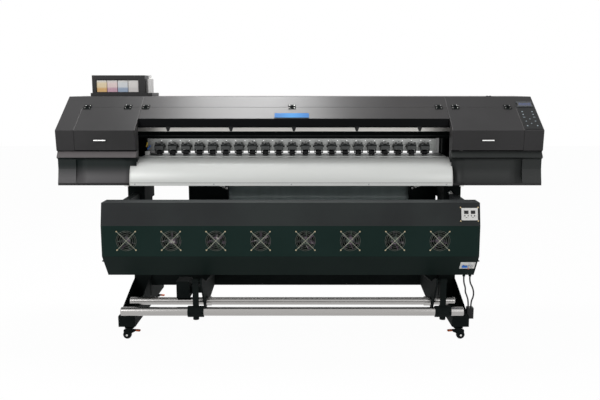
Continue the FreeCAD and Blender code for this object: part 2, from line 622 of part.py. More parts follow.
def make_pinch_row():
    places = pinch_places()
    left = PINCH_FIRST_X - PINCH_PITCH
    right = places[-1] + PINCH_PITCH
    flange_back = RAIL_BEAM_FRONT_Y + RAIL_BEAM_DEPTH - 2
    front = PINCH_BEAM_FRONT_Y
    beam = [block(left, right, front, front + PINCH_BEAM_THICK, PINCH_BEAM_BOTTOM, PINCH_BEAM_TOP),
            block(left, right, front, flange_back, PINCH_BEAM_TOP - PINCH_BEAM_THICK, PINCH_BEAM_TOP)]
    lugs = [x + PINCH_PITCH / 2 for x in [left] + places]
    for x in lugs:
        beam.append(block(x - 6, x + 6, ARM_PIVOT_Y - 8, front + 1, ARM_PIVOT_Z - 8, ARM_PIVOT_Z + 8))
    beam = fused(beam)
    bore = rod_x(left, right, ARM_PIVOT_Y, ARM_PIVOT_Z, ARM_PIVOT_RADIUS + SHAFT_CLEAR)
    holes = []
    x = left + PINCH_HOLE_PITCH / 2
    while x < right - PINCH_HOLE_RADIUS:
        holes.append(rod_y(x, front - 1, front + PINCH_BEAM_THICK + 1, PINCH_BEAM_TOP - PINCH_HOLE_DROP,
                           PINCH_HOLE_RADIUS))
        x += PINCH_HOLE_PITCH
    save("pinch_beam", beam.cut(Part.makeCompound([bore] + holes)))

    shaft = rod_x(lugs[0] - 8, lugs[-1] + 8, ARM_PIVOT_Y, ARM_PIVOT_Z, ARM_PIVOT_RADIUS)
    arms = [shaft]
    for x in places:
        arms += pinch_arm(x)
    axle = rod_x(left, right, PINCH_Y, PINCH_Z, PINCH_AXLE_RADIUS + SHAFT_CLEAR)
    save("pinch_arms", fused(arms).cut(axle))
    rollers = []
    for x in places:
        half = PINCH_ROLLER_LENGTH / 2
        rollers.append(fused([rod_x(x - half, x + half, PINCH_Y, PINCH_Z, PINCH_RADIUS),
                              rod_x(x - PINCH_WIDTH / 2 + 1, x + PINCH_WIDTH / 2 - 1, PINCH_Y, PINCH_Z,
                                    PINCH_AXLE_RADIUS)]))
    save("pinch_rollers", rollers)

    x0 = LEFT_INNER_X + LEVER_WALL_GAP
    x1 = x0 + LEVER_WIDTH
    grip_y = LEVER_PIVOT_Y + LEVER_LENGTH
    bar = [(LEVER_PIVOT_Y, LEVER_PIVOT_Z - 6), (LEVER_PIVOT_Y, LEVER_PIVOT_Z + 6),
           (grip_y, LEVER_PIVOT_Z - 34), (grip_y, LEVER_PIVOT_Z - 46)]
    lever = fused([rod_x(x0, x1, LEVER_PIVOT_Y, LEVER_PIVOT_Z, 2 * LEVER_PIN_RADIUS), prism_x(bar, x0, x1),
                   rod_x(x0, x1 + 24, grip_y, LEVER_PIVOT_Z - 40, 9)])
    save("lift_lever", lever.cut(rod_x(x0 - 1, x1 + 5, LEVER_PIVOT_Y, LEVER_PIVOT_Z,
                                       LEVER_PIN_RADIUS + SHAFT_CLEAR)))


def make_carriage():
    step = PINCH_BEAM_TOP + CARRIAGE_BEAM_GAP
    half = CARRIAGE_WIDTH / 2
    x0 = CARRIAGE_HOME_X - half
    x1 = CARRIAGE_HOME_X + half
    rail_face = RAIL_BEAM_FRONT_Y - RAIL_DEPTH
    rail_top = RAIL_Z + RAIL_HEIGHT / 2 + CLEAR
    rail_low = RAIL_Z - RAIL_HEIGHT / 2 - CLEAR
    pieces = [block(x0, x1, CARRIAGE_FRONT_Y, rail_face - CLEAR, step, CARRIAGE_TOP),
              block(x0, x1, CARRIAGE_FRONT_Y, CARRIAGE_HEAD_BACK_Y, BED_TOP + CARRIAGE_NOZZLE_GAP,
                    step),
              block(x0 + 20, x1 - 20, rail_face - 4, rail_face + 8, rail_top, rail_top + 8),
              block(x0 + 20, x1 - 20, rail_face - 4, rail_face + 8, rail_low - 8, rail_low)]
    save("carriage", fused(pieces))


# ---------------------------------------------------------------- side cabinets
CAP_RECESS = 24.0
LEDGE_FRONT_Y = FRONT_Y + 2.0
LEDGE_BACK_Y = FRONT_Y + 26.0
LID_EDGE_DEPTH = 27.0
WALL_DROP = 30.0             # top of an inner cabinet wall below the lid's skin
RAIL_CUT_GAP = 1.0


def cabinet_outline(recess):
    """Side outline of a cabinet whose lower front panel is hollowed by recess."""
    return [(FRONT_Y + 6, CABINET_BOTTOM), (FRONT_Y + 6, CABINET_BOTTOM + PANEL_LIP),
            (FRONT_Y + 0.6 * recess, CABINET_BOTTOM + 3 * PANEL_LIP),
            (FRONT_Y + recess, LEDGE_BOTTOM - 70), (FRONT_Y + recess, LEDGE_BOTTOM - 12),
            (LEDGE_FRONT_Y, LEDGE_BOTTOM), (LEDGE_BACK_Y, LEDGE_TOP),
            (FRONT_Y + LID_LEAN, LID_BOTTOM), (FRONT_Y, LID_FRONT_TOP), (SLOPE_TOP_Y, CABINET_TOP),
            (CABINET_BACK_Y, CABINET_TOP), (CABINET_BACK_Y, CABINET_REAR_BOTTOM)]


def inset_prism(points, inset, x0, x1):
    """Prism whose outline is moved inwards by inset."""
    corners = [Vector(x0, y, z) for y, z in points]
    face = Part.Face(Part.makePolygon(corners + corners[:1]))
    return face.makeOffset2D(-inset, 2).extrude(Vector(x1 - x0, 0, 0))


def cabinet(outer_x, seam_x, inner_x):
    """Open-fronted shell: end cap, lower tub, rear top, back and the wall beside the print bay."""
    side = 1 if outer_x < inner_x else -1
    cap = sorted((outer_x, seam_x))
    tub = sorted((seam_x, inner_x))
    wall = CABINET_WALL
    cap_hollow = sorted((outer_x + side * wall, seam_x + side))
    tub_hollow = sorted((seam_x - side, inner_x - side * wall))
    shell = prism_x(cabinet_outline(CAP_RECESS), *cap).fuse(prism_x(cabinet_outline(PANEL_RECESS), *tub))
    shell = shell.cut(inset_prism(cabinet_outline(CAP_RECESS), wall, *cap_hollow))
    shell = shell.cut(inset_prism(cabinet_outline(PANEL_RECESS), wall, *tub_hollow))
    mouth = block(tub[0], tub[1], FRONT_Y - 50, HINGE_Y, LEDGE_TOP + 2, CABINET_TOP + 50)
    shell = shell.cut(mouth)
    hinge_wall = [(LEDGE_BACK_Y + wall, LEDGE_TOP - 10), (LEDGE_BACK_Y + 12, LEDGE_TOP),
                  (LEDGE_BACK_Y + 12, LID_FRONT_TOP - WALL_DROP), (HINGE_Y, HINGE_Z - WALL_DROP),
                  (HINGE_Y + 20, HINGE_Z - WALL_DROP), (HINGE_Y + 20, LEDGE_TOP - 10)]
    inner = sorted((inner_x - side * wall, inner_x))
    shell = shell.fuse(prism_x(hinge_wall, *inner))
    bay = sorted((inner_x - side * (wall + 1), inner_x + side))
    shell = shell.cut(block(bay[0], bay[1], BAY_OPEN_FRONT_Y, BAY_OPEN_BACK_Y, BAY_OPEN_BOTTOM,
                            BAY_OPEN_TOP))
    shell = shell.cut(rail_beam_envelope(RAIL_CUT_GAP))
    shell = shell.cut(chassis_envelope(-CHASSIS_REACH, CHASSIS_REACH))
    shell = shell.cut(guide_profile(0.0, GUIDE_LEFT_X, GUIDE_RIGHT_X))
    shell = shell.cut(block(LEFT_INNER_X, RIGHT_INNER_X, FRONT_Y, CABINET_BACK_Y, 0, CABINET_TOP))
    return shell.removeSplitter()


def hinge_axis():
    """Pin line (y, z), just above the sloped top at the back edge of the lids."""
    return on_slope(HINGE_Y, HINGE_KNUCKLE_RADIUS + CLEAR)


def at_hinge(shape, x):
    """Place a hinge piece made at the origin with its leaves along Y."""
    shape = shape.copy()
    y, z = hinge_axis()
    shape.rotate(Vector(0, 0, 0), AXIS_X, SLOPE_ANGLE)
    shape.translate(Vector(x, y, z))
    return shape


def hinge_half(moving):
    """Leaf and knuckles of one butterfly hinge; the fixed half also holds the pin."""
    base = -HINGE_KNUCKLE_RADIUS - CLEAR
    knuckle = HINGE_WIDTH / 6
    half = HINGE_WIDTH / 2
    reach = -HINGE_LEAF_REACH if moving else HINGE_LEAF_REACH
    low, high = sorted((math.copysign(HINGE_KNUCKLE_RADIUS + 1, reach), reach))
    pieces = [block(-half, half, low, high, base, base + HINGE_LEAF)]
    spans = ((-half, -knuckle - CLEAR), (knuckle + CLEAR, half)) if moving else ((-knuckle, knuckle),)
    for x0, x1 in spans:
        pieces.append(rod_x(x0, x1, 0, 0, HINGE_KNUCKLE_RADIUS))
        tongue = sorted((0.0, math.copysign(HINGE_KNUCKLE_RADIUS + 2, reach)))
        pieces.append(block(x0, x1, tongue[0], tongue[1], base + 1, base + HINGE_LEAF))
    if moving:
        bore = rod_x(-half - 1, half + 1, 0, 0, HINGE_PIN_RADIUS + SHAFT_CLEAR)
        return fused(pieces).cut(bore)
    pieces.append(rod_x(-half, half, 0, 0, HINGE_PIN_RADIUS))
    return fused(pieces)


LEFT_HINGES = (LEFT_SEAM_X + LEFT_HINGE_OUTER, LEFT_INNER_X - LEFT_HINGE_INNER)
RIGHT_HINGES = (RIGHT_INNER_X + RIGHT_HINGE_INNER, RIGHT_SEAM_X - RIGHT_HINGE_OUTER)
COVER_HINGES = (LEFT_INNER_X + COVER_HINGE_LEFT, BADGE_CENTRE_X, RIGHT_INNER_X - COVER_HINGE_RIGHT)


def lid(x0, x1, hinges):
    """Pressed lid: front face, sloped top and turned edges, with its hinge leaves."""
    back = HINGE_Y - LID_GAP
    back_z = on_slope(back)[1]
    skin = LID_WALL
    outline = [(FRONT_Y + LID_LEAN, LID_BOTTOM), (FRONT_Y, LID_FRONT_TOP), (back, back_z),
               (back, back_z - LID_EDGE_DEPTH), (LEDGE_BACK_Y + 9, LID_FRONT_TOP - LID_EDGE_DEPTH),
               (LEDGE_BACK_Y + 9, LID_BOTTOM)]
    drop = skin / math.cos(math.radians(SLOPE_ANGLE))
    hollow = [(FRONT_Y + LID_LEAN + skin, LID_BOTTOM - 1), (FRONT_Y + skin, LID_FRONT_TOP - skin / 2),
              (back - skin, on_slope(back - skin)[1] - drop), (back - skin, LID_BOTTOM - 1)]
    shell = prism_x(outline, x0, x1).cut(prism_x(hollow, x0 + skin, x1 - skin))
    return fused([shell] + [at_hinge(hinge_half(True), x) for x in hinges])


def bar_handle(x):
    """Round bar on two posts standing on the lid's front face."""
    lean = LID_LEAN * (LID_FRONT_TOP - HANDLE_Z) / (LID_FRONT_TOP - LID_BOTTOM)
    face = FRONT_Y + lean
    y = face - HANDLE_STAND_OFF
    half = HANDLE_LENGTH / 2
    pieces = [rod_x(x - half, x + half, y, HANDLE_Z, HANDLE_RADIUS)]
    for post in (x - half + 8, x + half - 8):
        pieces.append(rod_y(post, y, face + 0.6, HANDLE_Z, HANDLE_RADIUS - 1))
    return fused(pieces)


def make_cabinets():
    save("left_cabinet", cabinet(-HALF_WIDTH, LEFT_SEAM_X, LEFT_INNER_X))
    save("right_cabinet", cabinet(HALF_WIDTH, RIGHT_SEAM_X, RIGHT_INNER_X))
    left = lid(LEFT_SEAM_X + LID_GAP, LEFT_INNER_X, LEFT_HINGES)
    right = lid(RIGHT_INNER_X, RIGHT_SEAM_X - LID_GAP, RIGHT_HINGES)
    for name, shell, x in (("left_lid", left, LEFT_HANDLE_X), ("right_lid", right, RIGHT_HANDLE_X)):
        handle = bar_handle(x)
        save(name, shell.cut(handle))
        save(name + "_handle", handle)


# ---------------------------------------------------------------- front cover and rear cover
COVER_SIDE_GAP = 2.0


def make_covers():
    left = LEFT_INNER_X + COVER_SIDE_GAP
    right = RIGHT_INNER_X - COVER_SIDE_GAP
    back = HINGE_Y - LID_GAP
    drop = COVER_WALL / math.cos(math.radians(SLOPE_ANGLE))
    edge = on_slope(COVER_FRONT_Y)[1]
    skirt = edge - COVER_SKIRT_DROP
    inner = COVER_FRONT_Y + COVER_WALL
    sheet = [(COVER_FRONT_Y, skirt), (COVER_FRONT_Y, edge), (back, on_slope(back)[1]),
             (back, on_slope(back)[1] - drop), (inner, on_slope(inner)[1] - drop), (inner, skirt)]
    pieces = [prism_x(sheet, left, right)]
    for i in range(CATCH_COUNT):
        x = BED_CENTRE_X + (i - (CATCH_COUNT - 1) / 2) * CATCH_PITCH
        tab = [(x - CATCH_TOP_WIDTH / 2, skirt), (x + CATCH_TOP_WIDTH / 2, skirt),
               (x + CATCH_TIP_WIDTH / 2, skirt - CATCH_DROP), (x - CATCH_TIP_WIDTH / 2, skirt - CATCH_DROP)]
        pieces.append(prism_y(tab, COVER_FRONT_Y, inner))
    pieces += [at_hinge(hinge_half(True), x) for x in COVER_HINGES]
    save("front_cover", fused(pieces))

    badge = block(-BADGE_WIDTH / 2, BADGE_WIDTH / 2, 0, BADGE_HEIGHT, 0, BADGE_THICK)
    badge.rotate(Vector(0, 0, 0), AXIS_X, SLOPE_ANGLE)
    low_y = COVER_FRONT_Y + BADGE_RISE
    badge.translate(Vector(BADGE_CENTRE_X, low_y, on_slope(low_y)[1]))
    save("badge_plate", badge)

    front = HINGE_Y
    wall = COVER_WALL
    rear = [(front, HINGE_Z), (SLOPE_TOP_Y, CABINET_TOP), (CABINET_BACK_Y, CABINET_TOP),
            (CABINET_BACK_Y, CABINET_TOP - 240), (CABINET_BACK_Y - wall, CABINET_TOP - 240),
            (CABINET_BACK_Y - wall, CABINET_TOP - wall), (SLOPE_TOP_Y + 1, CABINET_TOP - wall),
            (front, HINGE_Z - drop)]
    save("rear_cover", prism_x(rear, LEFT_INNER_X, RIGHT_INNER_X))
    leaves = [at_hinge(hinge_half(False), x) for x in LEFT_HINGES + COVER_HINGES + RIGHT_HINGES]
    save("hinge_leaves", leaves)


# ---------------------------------------------------------------- ink station
TRAY_HEIGHT = 21.0
TRAY_MARGIN = 6.0
TRAY_RIGHT_X = -942.0
WINDOW_LEFT = 25.0
WINDOW_RIGHT = 42.0
RACK_WINDOW_TOP = RACK_TOP - RACK_HEADER


def make_ink_station():
    base = CABINET_TOP
    top = base + TRAY_HEIGHT
    tray = block(RACK_LEFT_X - TRAY_MARGIN, TRAY_RIGHT_X, RACK_FRONT_Y - 20, RACK_BACK_Y + 12, base, top)
    housing = block(RACK_LEFT_X, RACK_RIGHT_X, RACK_FRONT_Y, RACK_BACK_Y, top, RACK_TOP)
    wall = RACK_WALL
    left = RACK_LEFT_X + WINDOW_LEFT
    right = RACK_RIGHT_X - WINDOW_RIGHT
    room = block(left, right, RACK_FRONT_Y + wall, RACK_BACK_Y - wall, RACK_WINDOW_BOTTOM,
                 RACK_TOP - wall)
    window = block(left, right, RACK_FRONT_Y - 1, RACK_FRONT_Y + wall + 1, RACK_WINDOW_BOTTOM,
                   RACK_WINDOW_TOP)
    save("ink_rack", fused([tray, housing]).cut(room.fuse(window)))
    tanks = []
    pitch = (right - left) / TANK_COUNT
    for i in range(TANK_COUNT):
        x = left + i * pitch
        tanks.append(block(x + TANK_GAP / 2, x + pitch - TANK_GAP / 2, RACK_FRONT_Y + wall + 3,
                           RACK_BACK_Y - wall - 20, RACK_WINDOW_BOTTOM, RACK_WINDOW_TOP - 3))
    x = (RACK_RIGHT_X + TRAY_RIGHT_X) / 2
    y = RACK_FRONT_Y + 45
    neck = BOTTLE_RADIUS * 0.45
    body = fused([rod_z(x, y, top, top + BOTTLE_HEIGHT * 0.75, BOTTLE_RADIUS),
                  rod_z(x, y, top, RACK_TOP, neck)])
    save("ink_tanks", tanks + [body])


# ---------------------------------------------------------------- control panel
def slope_plate(x0, x1, from_edge, length, low, thick):
    """Plate lying on the sloped top, measured up the slope from its front edge."""
    plate = block(x0, x1, from_edge, from_edge + length, low, low + thick)
    plate.rotate(Vector(0, 0, 0), AXIS_X, SLOPE_ANGLE)
    plate.translate(Vector(0, FRONT_Y, LID_FRONT_TOP))
    return plate


def make_panel():
    right = PANEL_LEFT_X + PANEL_WIDTH
    save("control_panel", slope_plate(PANEL_LEFT_X, right, PANEL_FROM_EDGE, PANEL_LENGTH, 0, PANEL_THICK))
    middle = PANEL_LEFT_X + PANEL_WIDTH / 2
    start = PANEL_FROM_EDGE + PANEL_LENGTH - DISPLAY_FROM_TOP - DISPLAY_LENGTH
    save("display", slope_plate(middle - DISPLAY_WIDTH / 2, middle + DISPLAY_WIDTH / 2, start,
                                DISPLAY_LENGTH, PANEL_THICK, DISPLAY_THICK))


# ---------------------------------------------------------------- dryer and fans
DRYER_OUTLINE = [(DRYER_BACK_Y, DRYER_TOP), (DRYER_TOP_FRONT_Y, DRYER_TOP),
                 (DRYER_FACE_Y, DRYER_BREAK_Z), (DRYER_FACE_Y, DRYER_FACE_BOTTOM),
                 (DRYER_BOTTOM_Y, DRYER_BOTTOM), (DRYER_BACK_Y, DRYER_BOTTOM)]
UPPER_TILT = math.degrees(math.atan2(DRYER_TOP_FRONT_Y - DRYER_FACE_Y, DRYER_TOP - DRYER_BREAK_Z))
LOWER_TILT = math.degrees(math.atan2(DRYER_BOTTOM_Y - DRYER_FACE_Y, DRYER_FACE_BOTTOM - DRYER_BOTTOM))
FAN_FRONT_Y = DRYER_FACE_Y + DRYER_WALL
FAN_BACK_Y = FAN_FRONT_Y + FAN_DEPTH
FAN_MOUNT = 6.0
FAN_PIN_RADIUS = 2.5
ROTOR_FRONT_Y = FAN_FRONT_Y + 3.0
ROTOR_BACK_Y = FAN_BACK_Y - FAN_MOUNT - 1.0
DRYER_ARM_HALF = 20.0
DRYER_ARM_BOTTOM = 790.0
DRYER_ARM_TOP = 830.0
BREAKER_FRAME = 6.0
BREAKER_PROUD = 2.0
TOGGLE_SHIFT = -16.0
TOGGLE_DROP = -8.0
TOGGLE_PIN_RADIUS = 1.5


def on_upper_face(shape, x, z):
    """Put a piece made at the origin, facing -Y, on the dryer's upper face."""
    y = DRYER_FACE_Y + (z - DRYER_BREAK_Z) * math.tan(math.radians(UPPER_TILT))
    shape.rotate(Vector(0, 0, 0), AXIS_X, -UPPER_TILT)
    shape.translate(Vector(x, y, z))
    return shape


def on_lower_face(shape, x, z):
    """The same on the lower face, which looks down and forward."""
    y = DRYER_FACE_Y + (DRYER_FACE_BOTTOM - z) * math.tan(math.radians(LOWER_TILT))
    shape.rotate(Vector(0, 0, 0), AXIS_X, LOWER_TILT)
    shape.translate(Vector(x, y, z))
    return shape


def fan_places():
    return [FAN_FIRST_X + i * FAN_PITCH for i in range(FAN_COUNT)]


def fan_frame(x):
    """Square housing with a round duct, four stays and the motor pin at the back."""
    half = FAN_SIZE / 2
    frame = block(x - half, x + half, FAN_FRONT_Y, FAN_BACK_Y, FAN_Z - half, FAN_Z + half)
    frame = frame.cut(rod_y(x, FAN_FRONT_Y - 1, FAN_BACK_Y + 1, FAN_Z, FAN_BORE))
    stay_y = FAN_BACK_Y - FAN_MOUNT
    pieces = [frame, rod_y(x, stay_y, FAN_BACK_Y, FAN_Z, HUB_RADIUS),
              block(x - FAN_BORE - 1, x + FAN_BORE + 1, stay_y, FAN_BACK_Y, FAN_Z - 3, FAN_Z + 3),
              block(x - 3, x + 3, stay_y, FAN_BACK_Y, FAN_Z - FAN_BORE - 1, FAN_Z + FAN_BORE + 1),
              rod_y(x, ROTOR_FRONT_Y + 4, FAN_BACK_Y, FAN_Z, FAN_PIN_RADIUS)]
    return fused(pieces)


def fan_rotor(x):
    """Hub with pitched blades."""
    hub = rod_y(0, ROTOR_FRONT_Y, ROTOR_BACK_Y, 0, HUB_RADIUS)
    middle = (ROTOR_FRONT_Y + ROTOR_BACK_Y) / 2
    half = (ROTOR_BACK_Y - ROTOR_FRONT_Y) / 2 / math.cos(math.radians(BLADE_ANGLE)) - 2
    pieces = [hub]
    for i in range(BLADE_COUNT):
        blade = block(-BLADE_THICK / 2, BLADE_THICK / 2, -half, half, HUB_RADIUS - 2, BLADE_TIP)
        blade.rotate(Vector(0, 0, 0), AXIS_Z, BLADE_ANGLE)
        blade.translate(Vector(0, middle, 0))
        blade.rotate(Vector(0, 0, 0), AXIS_Y, i * 360.0 / BLADE_COUNT)
        pieces.append(blade)
    rotor = fused(pieces)
    rotor = rotor.cut(rod_y(0, ROTOR_FRONT_Y + 3, ROTOR_BACK_Y + 1, 0, FAN_PIN_RADIUS + SHAFT_CLEAR))
    rotor.translate(Vector(x, 0, FAN_Z))
    return rotor


def fan_guard(x):
    """Wire rings on two crossed stays that end in four screw eyes."""
    y = DRYER_FACE_Y - GUARD_WIRE
    reach = FAN_HOLE_SPACING / 2
    pieces = []
    for turn in (45.0, 135.0):
        stay = rod_x(-reach * math.sqrt(2), reach * math.sqrt(2), 0, 0, GUARD_WIRE)
        stay.rotate(Vector(0, 0, 0), AXIS_Y, turn)
        pieces.append(stay)
    for dx in (-reach, reach):
        for dz in (-reach, reach):
            pieces.append(rod_y(dx, -GUARD_WIRE, GUARD_WIRE, dz, 5.0))
    for radius in GUARD_RINGS:
        pieces.append(Part.makeTorus(radius, GUARD_WIRE * 0.8, Vector(0, 0, 0), AXIS_Y))
    guard = fused(pieces)
    guard.translate(Vector(x, y, FAN_Z))
    return guard


def make_dryer():
    left, right = DRYER_LEFT_X, DRYER_RIGHT_X
    shell = prism_x(DRYER_OUTLINE, left, right)
    shell = shell.cut(inset_prism(DRYER_OUTLINE, DRYER_WALL, left + DRYER_WALL, right - DRYER_WALL))
    holes = [rod_y(x, DRYER_FACE_Y - 1, FAN_FRONT_Y + 1, FAN_Z, FAN_BORE) for x in fan_places()]
    window = block(-BREAKER_WIDTH / 2, BREAKER_WIDTH / 2, -10, BREAKER_DEPTH, -BREAKER_HEIGHT / 2,
                   BREAKER_HEIGHT / 2)
    holes.append(on_lower_face(window, BREAKER_X, BREAKER_Z))
    shell = shell.cut(Part.makeCompound(holes))
    arms = [block(x - DRYER_ARM_HALF, x + DRYER_ARM_HALF, DRYER_BACK_Y - 1, HEAD_FRONT_Y,
                  DRYER_ARM_BOTTOM, DRYER_ARM_TOP) for x in (LEFT_LEG_X, RIGHT_LEG_X)]
    glands = [rod_z(x, y, z, DRYER_BOTTOM + 1, GLAND_RADIUS)
              for x, y, z in (OUTER_CABLE[0], INNER_CABLE[0])]
    save("dryer_shell", fused([shell] + arms + glands))

    save("fan_frames", [fan_frame(x) for x in fan_places()])
    save("fan_guards", [fan_guard(x) for x in fan_places()])
    for number, x in enumerate(fan_places(), 1):
        save("fan_rotor_%d" % number, fan_rotor(x))


def make_electrics():
    plate = block(-SOCKET_WIDTH / 2, SOCKET_WIDTH / 2, -SOCKET_THICK, 0, -SOCKET_HEIGHT / 2,
                  SOCKET_HEIGHT / 2)
    for x in (-SOCKET_WIDTH / 4, SOCKET_WIDTH / 4):
        plate = plate.cut(block(x - 16, x + 16, -SOCKET_THICK - 1, 1.5 - SOCKET_THICK, -20, 20))
    save("socket_panel", on_upper_face(plate, SOCKET_X, SOCKET_Z))

    half_w = BREAKER_WIDTH / 2
    half_h = BREAKER_HEIGHT / 2
    frame = block(-half_w - BREAKER_FRAME, half_w + BREAKER_FRAME, -BREAKER_PROUD, 0,
                  -half_h - BREAKER_FRAME, half_h + BREAKER_FRAME)
    body = block(-half_w, half_w, -2 * BREAKER_PROUD, BREAKER_DEPTH - 10, -half_h, half_h)
    frame = frame.cut(body)
    toggle_half = TOGGLE_WIDTH / 2
    well = block(TOGGLE_SHIFT - toggle_half - CLEAR, TOGGLE_SHIFT + toggle_half + CLEAR,
                 -2 * BREAKER_PROUD - 1, TOGGLE_HEIGHT / 2, TOGGLE_DROP - 11, TOGGLE_DROP + 11)
    pin = rod_x(TOGGLE_SHIFT - toggle_half - 4, TOGGLE_SHIFT + toggle_half + 4, 0, TOGGLE_DROP,
                TOGGLE_PIN_RADIUS)
    pin_bore = rod_x(TOGGLE_SHIFT - toggle_half - 5, TOGGLE_SHIFT + toggle_half + 5, 0, TOGGLE_DROP,
                     TOGGLE_PIN_RADIUS + SHAFT_CLEAR)
    body = body.cut(well).cut(pin_bore)
    lever = block(-toggle_half, toggle_half, -TOGGLE_REACH, 0, -4, 4)
    lever.rotate(Vector(0, 0, 0), AXIS_X, -20.0)
    lever.translate(Vector(TOGGLE_SHIFT, 0, TOGGLE_DROP))
    drum = rod_x(TOGGLE_SHIFT - toggle_half, TOGGLE_SHIFT + toggle_half, 0, TOGGLE_DROP,
                 TOGGLE_HEIGHT / 2 - 1)
    toggle = fused([drum, lever, pin])
    save("breaker_body", [on_lower_face(frame, BREAKER_X, BREAKER_Z),
                          on_lower_face(body, BREAKER_X, BREAKER_Z)])
    save("breaker_toggle", on_lower_face(toggle, BREAKER_X, BREAKER_Z))


# ---------------------------------------------------------------- take-up, dancer bar and media roll
def take_up_plate(x0):
    """Side plate from the stand beam to the take-up bore and the dancer pivot."""
    beam_top = BEAM_BOTTOM + BEAM_HEIGHT
    tube_r = TAKE_UP_RADIUS
    outline = [(BEAM_FRONT_Y, beam_top), (BEAM_FRONT_Y, BEAM_BOTTOM + 10),
               (TAKE_UP_Y + 60, TAKE_UP_Z - tube_r - 16), (TAKE_UP_Y - 30, TAKE_UP_Z - tube_r - 16),
               (TAKE_UP_Y - 60, TAKE_UP_Z + 8), (DANCER_PIVOT_Y - 14, DANCER_PIVOT_Z - 16),
               (DANCER_PIVOT_Y - 14, DANCER_PIVOT_Z + 12), (DANCER_PIVOT_Y + 16, DANCER_PIVOT_Z + 12),
               (TAKE_UP_Y + 20, beam_top + 30), (BEAM_FRONT_Y - 120, beam_top)]
    plate = prism_x(outline, x0, x0 + UNIT_PLATE)
    return plate.cut(rod_x(x0 - 1, x0 + UNIT_PLATE + 1, TAKE_UP_Y, TAKE_UP_Z, tube_r + CLEAR))


def make_take_up():
    arm_half = ARM_WIDTH / 2
    left = fused([
        take_up_plate(UNIT_LEFT_X),
        rod_x(ARM_LEFT_X - arm_half - 4, UNIT_LEFT_X + 1, DANCER_PIVOT_Y, DANCER_PIVOT_Z, DANCER_PIN_RADIUS),
        block(MOTOR_LEFT_X, MOTOR_RIGHT_X, MOTOR_FRONT_Y, MOTOR_BACK_Y, MOTOR_BOTTOM, MOTOR_TOP),
        block(MOTOR_RIGHT_X - 1, UNIT_LEFT_X + 1, MOTOR_FRONT_Y + 25, MOTOR_BACK_Y - 25,
              MOTOR_BOTTOM + 25, MOTOR_TOP - 35)])
    right = fused([
        take_up_plate(UNIT_RIGHT_X),
        rod_x(UNIT_RIGHT_X + UNIT_PLATE - 1, ARM_RIGHT_X + arm_half + 4, DANCER_PIVOT_Y, DANCER_PIVOT_Z,
              DANCER_PIN_RADIUS)])
    save("take_up_units", [left, right])
    collar = TAKE_UP_RADIUS + 5
    tube = fused([
        rod_x(TAKE_UP_LEFT_X, TAKE_UP_RIGHT_X, TAKE_UP_Y, TAKE_UP_Z, TAKE_UP_RADIUS),
        rod_x(UNIT_LEFT_X + UNIT_PLATE + 1, UNIT_LEFT_X + UNIT_PLATE + 31, TAKE_UP_Y, TAKE_UP_Z, collar),
        rod_x(UNIT_RIGHT_X - 41, UNIT_RIGHT_X - 1, TAKE_UP_Y, TAKE_UP_Z, collar)])
    bore = TAKE_UP_RADIUS - 3
    save("take_up_tube", tube.cut(rod_x(TAKE_UP_LEFT_X - 1, TAKE_UP_RIGHT_X + 1, TAKE_UP_Y, TAKE_UP_Z, bore)))

    arms = []
    for x in (ARM_LEFT_X, ARM_RIGHT_X):
        strap = [(DANCER_PIVOT_Y - ARM_THICK / 2, DANCER_PIVOT_Z), (DANCER_Y - ARM_THICK / 2, DANCER_Z + 20),
                 (DANCER_Y + ARM_THICK / 2, DANCER_Z + 20), (DANCER_PIVOT_Y + ARM_THICK / 2, DANCER_PIVOT_Z)]
        half_collar = COLLAR_LENGTH / 2
        outer = DANCER_RADIUS + COLLAR_WALL
        arm = fused([
            rod_x(x - arm_half, x + arm_half, DANCER_PIVOT_Y, DANCER_PIVOT_Z, 2 * DANCER_PIN_RADIUS),
            prism_x(strap, x - arm_half, x + arm_half),
            rod_x(x - half_collar, x + half_collar, DANCER_Y, DANCER_Z, outer),
            rod_z(x, DANCER_Y, DANCER_Z - outer - 14, DANCER_Z, arm_half)])
        arm = arm.cut(rod_x(x - half_collar - 1, x + half_collar + 1, DANCER_Y, DANCER_Z, DANCER_RADIUS))
        arms.append(arm.cut(rod_x(x - arm_half - 1, x + arm_half + 1, DANCER_PIVOT_Y, DANCER_PIVOT_Z,
                                  DANCER_PIN_RADIUS + SHAFT_CLEAR)))
    save("dancer_arms", arms)
    save("dancer_tube", tube_x(DANCER_LEFT_X, DANCER_RIGHT_X, DANCER_Y, DANCER_Z, DANCER_RADIUS,
                               DANCER_RADIUS - 3))


def make_media_roll():
    leg_back = LEG_FRONT_Y + LEG_DEPTH
    rail_z = HOLDER_BOTTOM + 10
    rail = block(LEFT_LEG_X, RIGHT_LEG_X, leg_back, HOLDER_FRONT_Y, rail_z, rail_z + HOLDER_RAIL)
    holders = [rail]
    spans = ((HOLDER_LEFT_X, ROLL_LEFT_X - 1), (ROLL_RIGHT_X + 1, HOLDER_RIGHT_X))
    for x0, x1 in spans:
        holder = hollow_block(x0, x1, HOLDER_FRONT_Y, HOLDER_BACK_Y, HOLDER_BOTTOM, HOLDER_TOP, HOLDER_WALL)
        holders.append(holder.cut(rod_x(x0 - 1, x1 + 1, ROLL_Y, ROLL_Z, SPINDLE_RADIUS + CLEAR)))
    save("media_holders", holders)
    save("media_roll", fused([
        rod_x(ROLL_LEFT_X, ROLL_RIGHT_X, ROLL_Y, ROLL_Z, ROLL_RADIUS),
        rod_x(HOLDER_LEFT_X + 20, HOLDER_RIGHT_X - 20, ROLL_Y, ROLL_Z, SPINDLE_RADIUS)]))


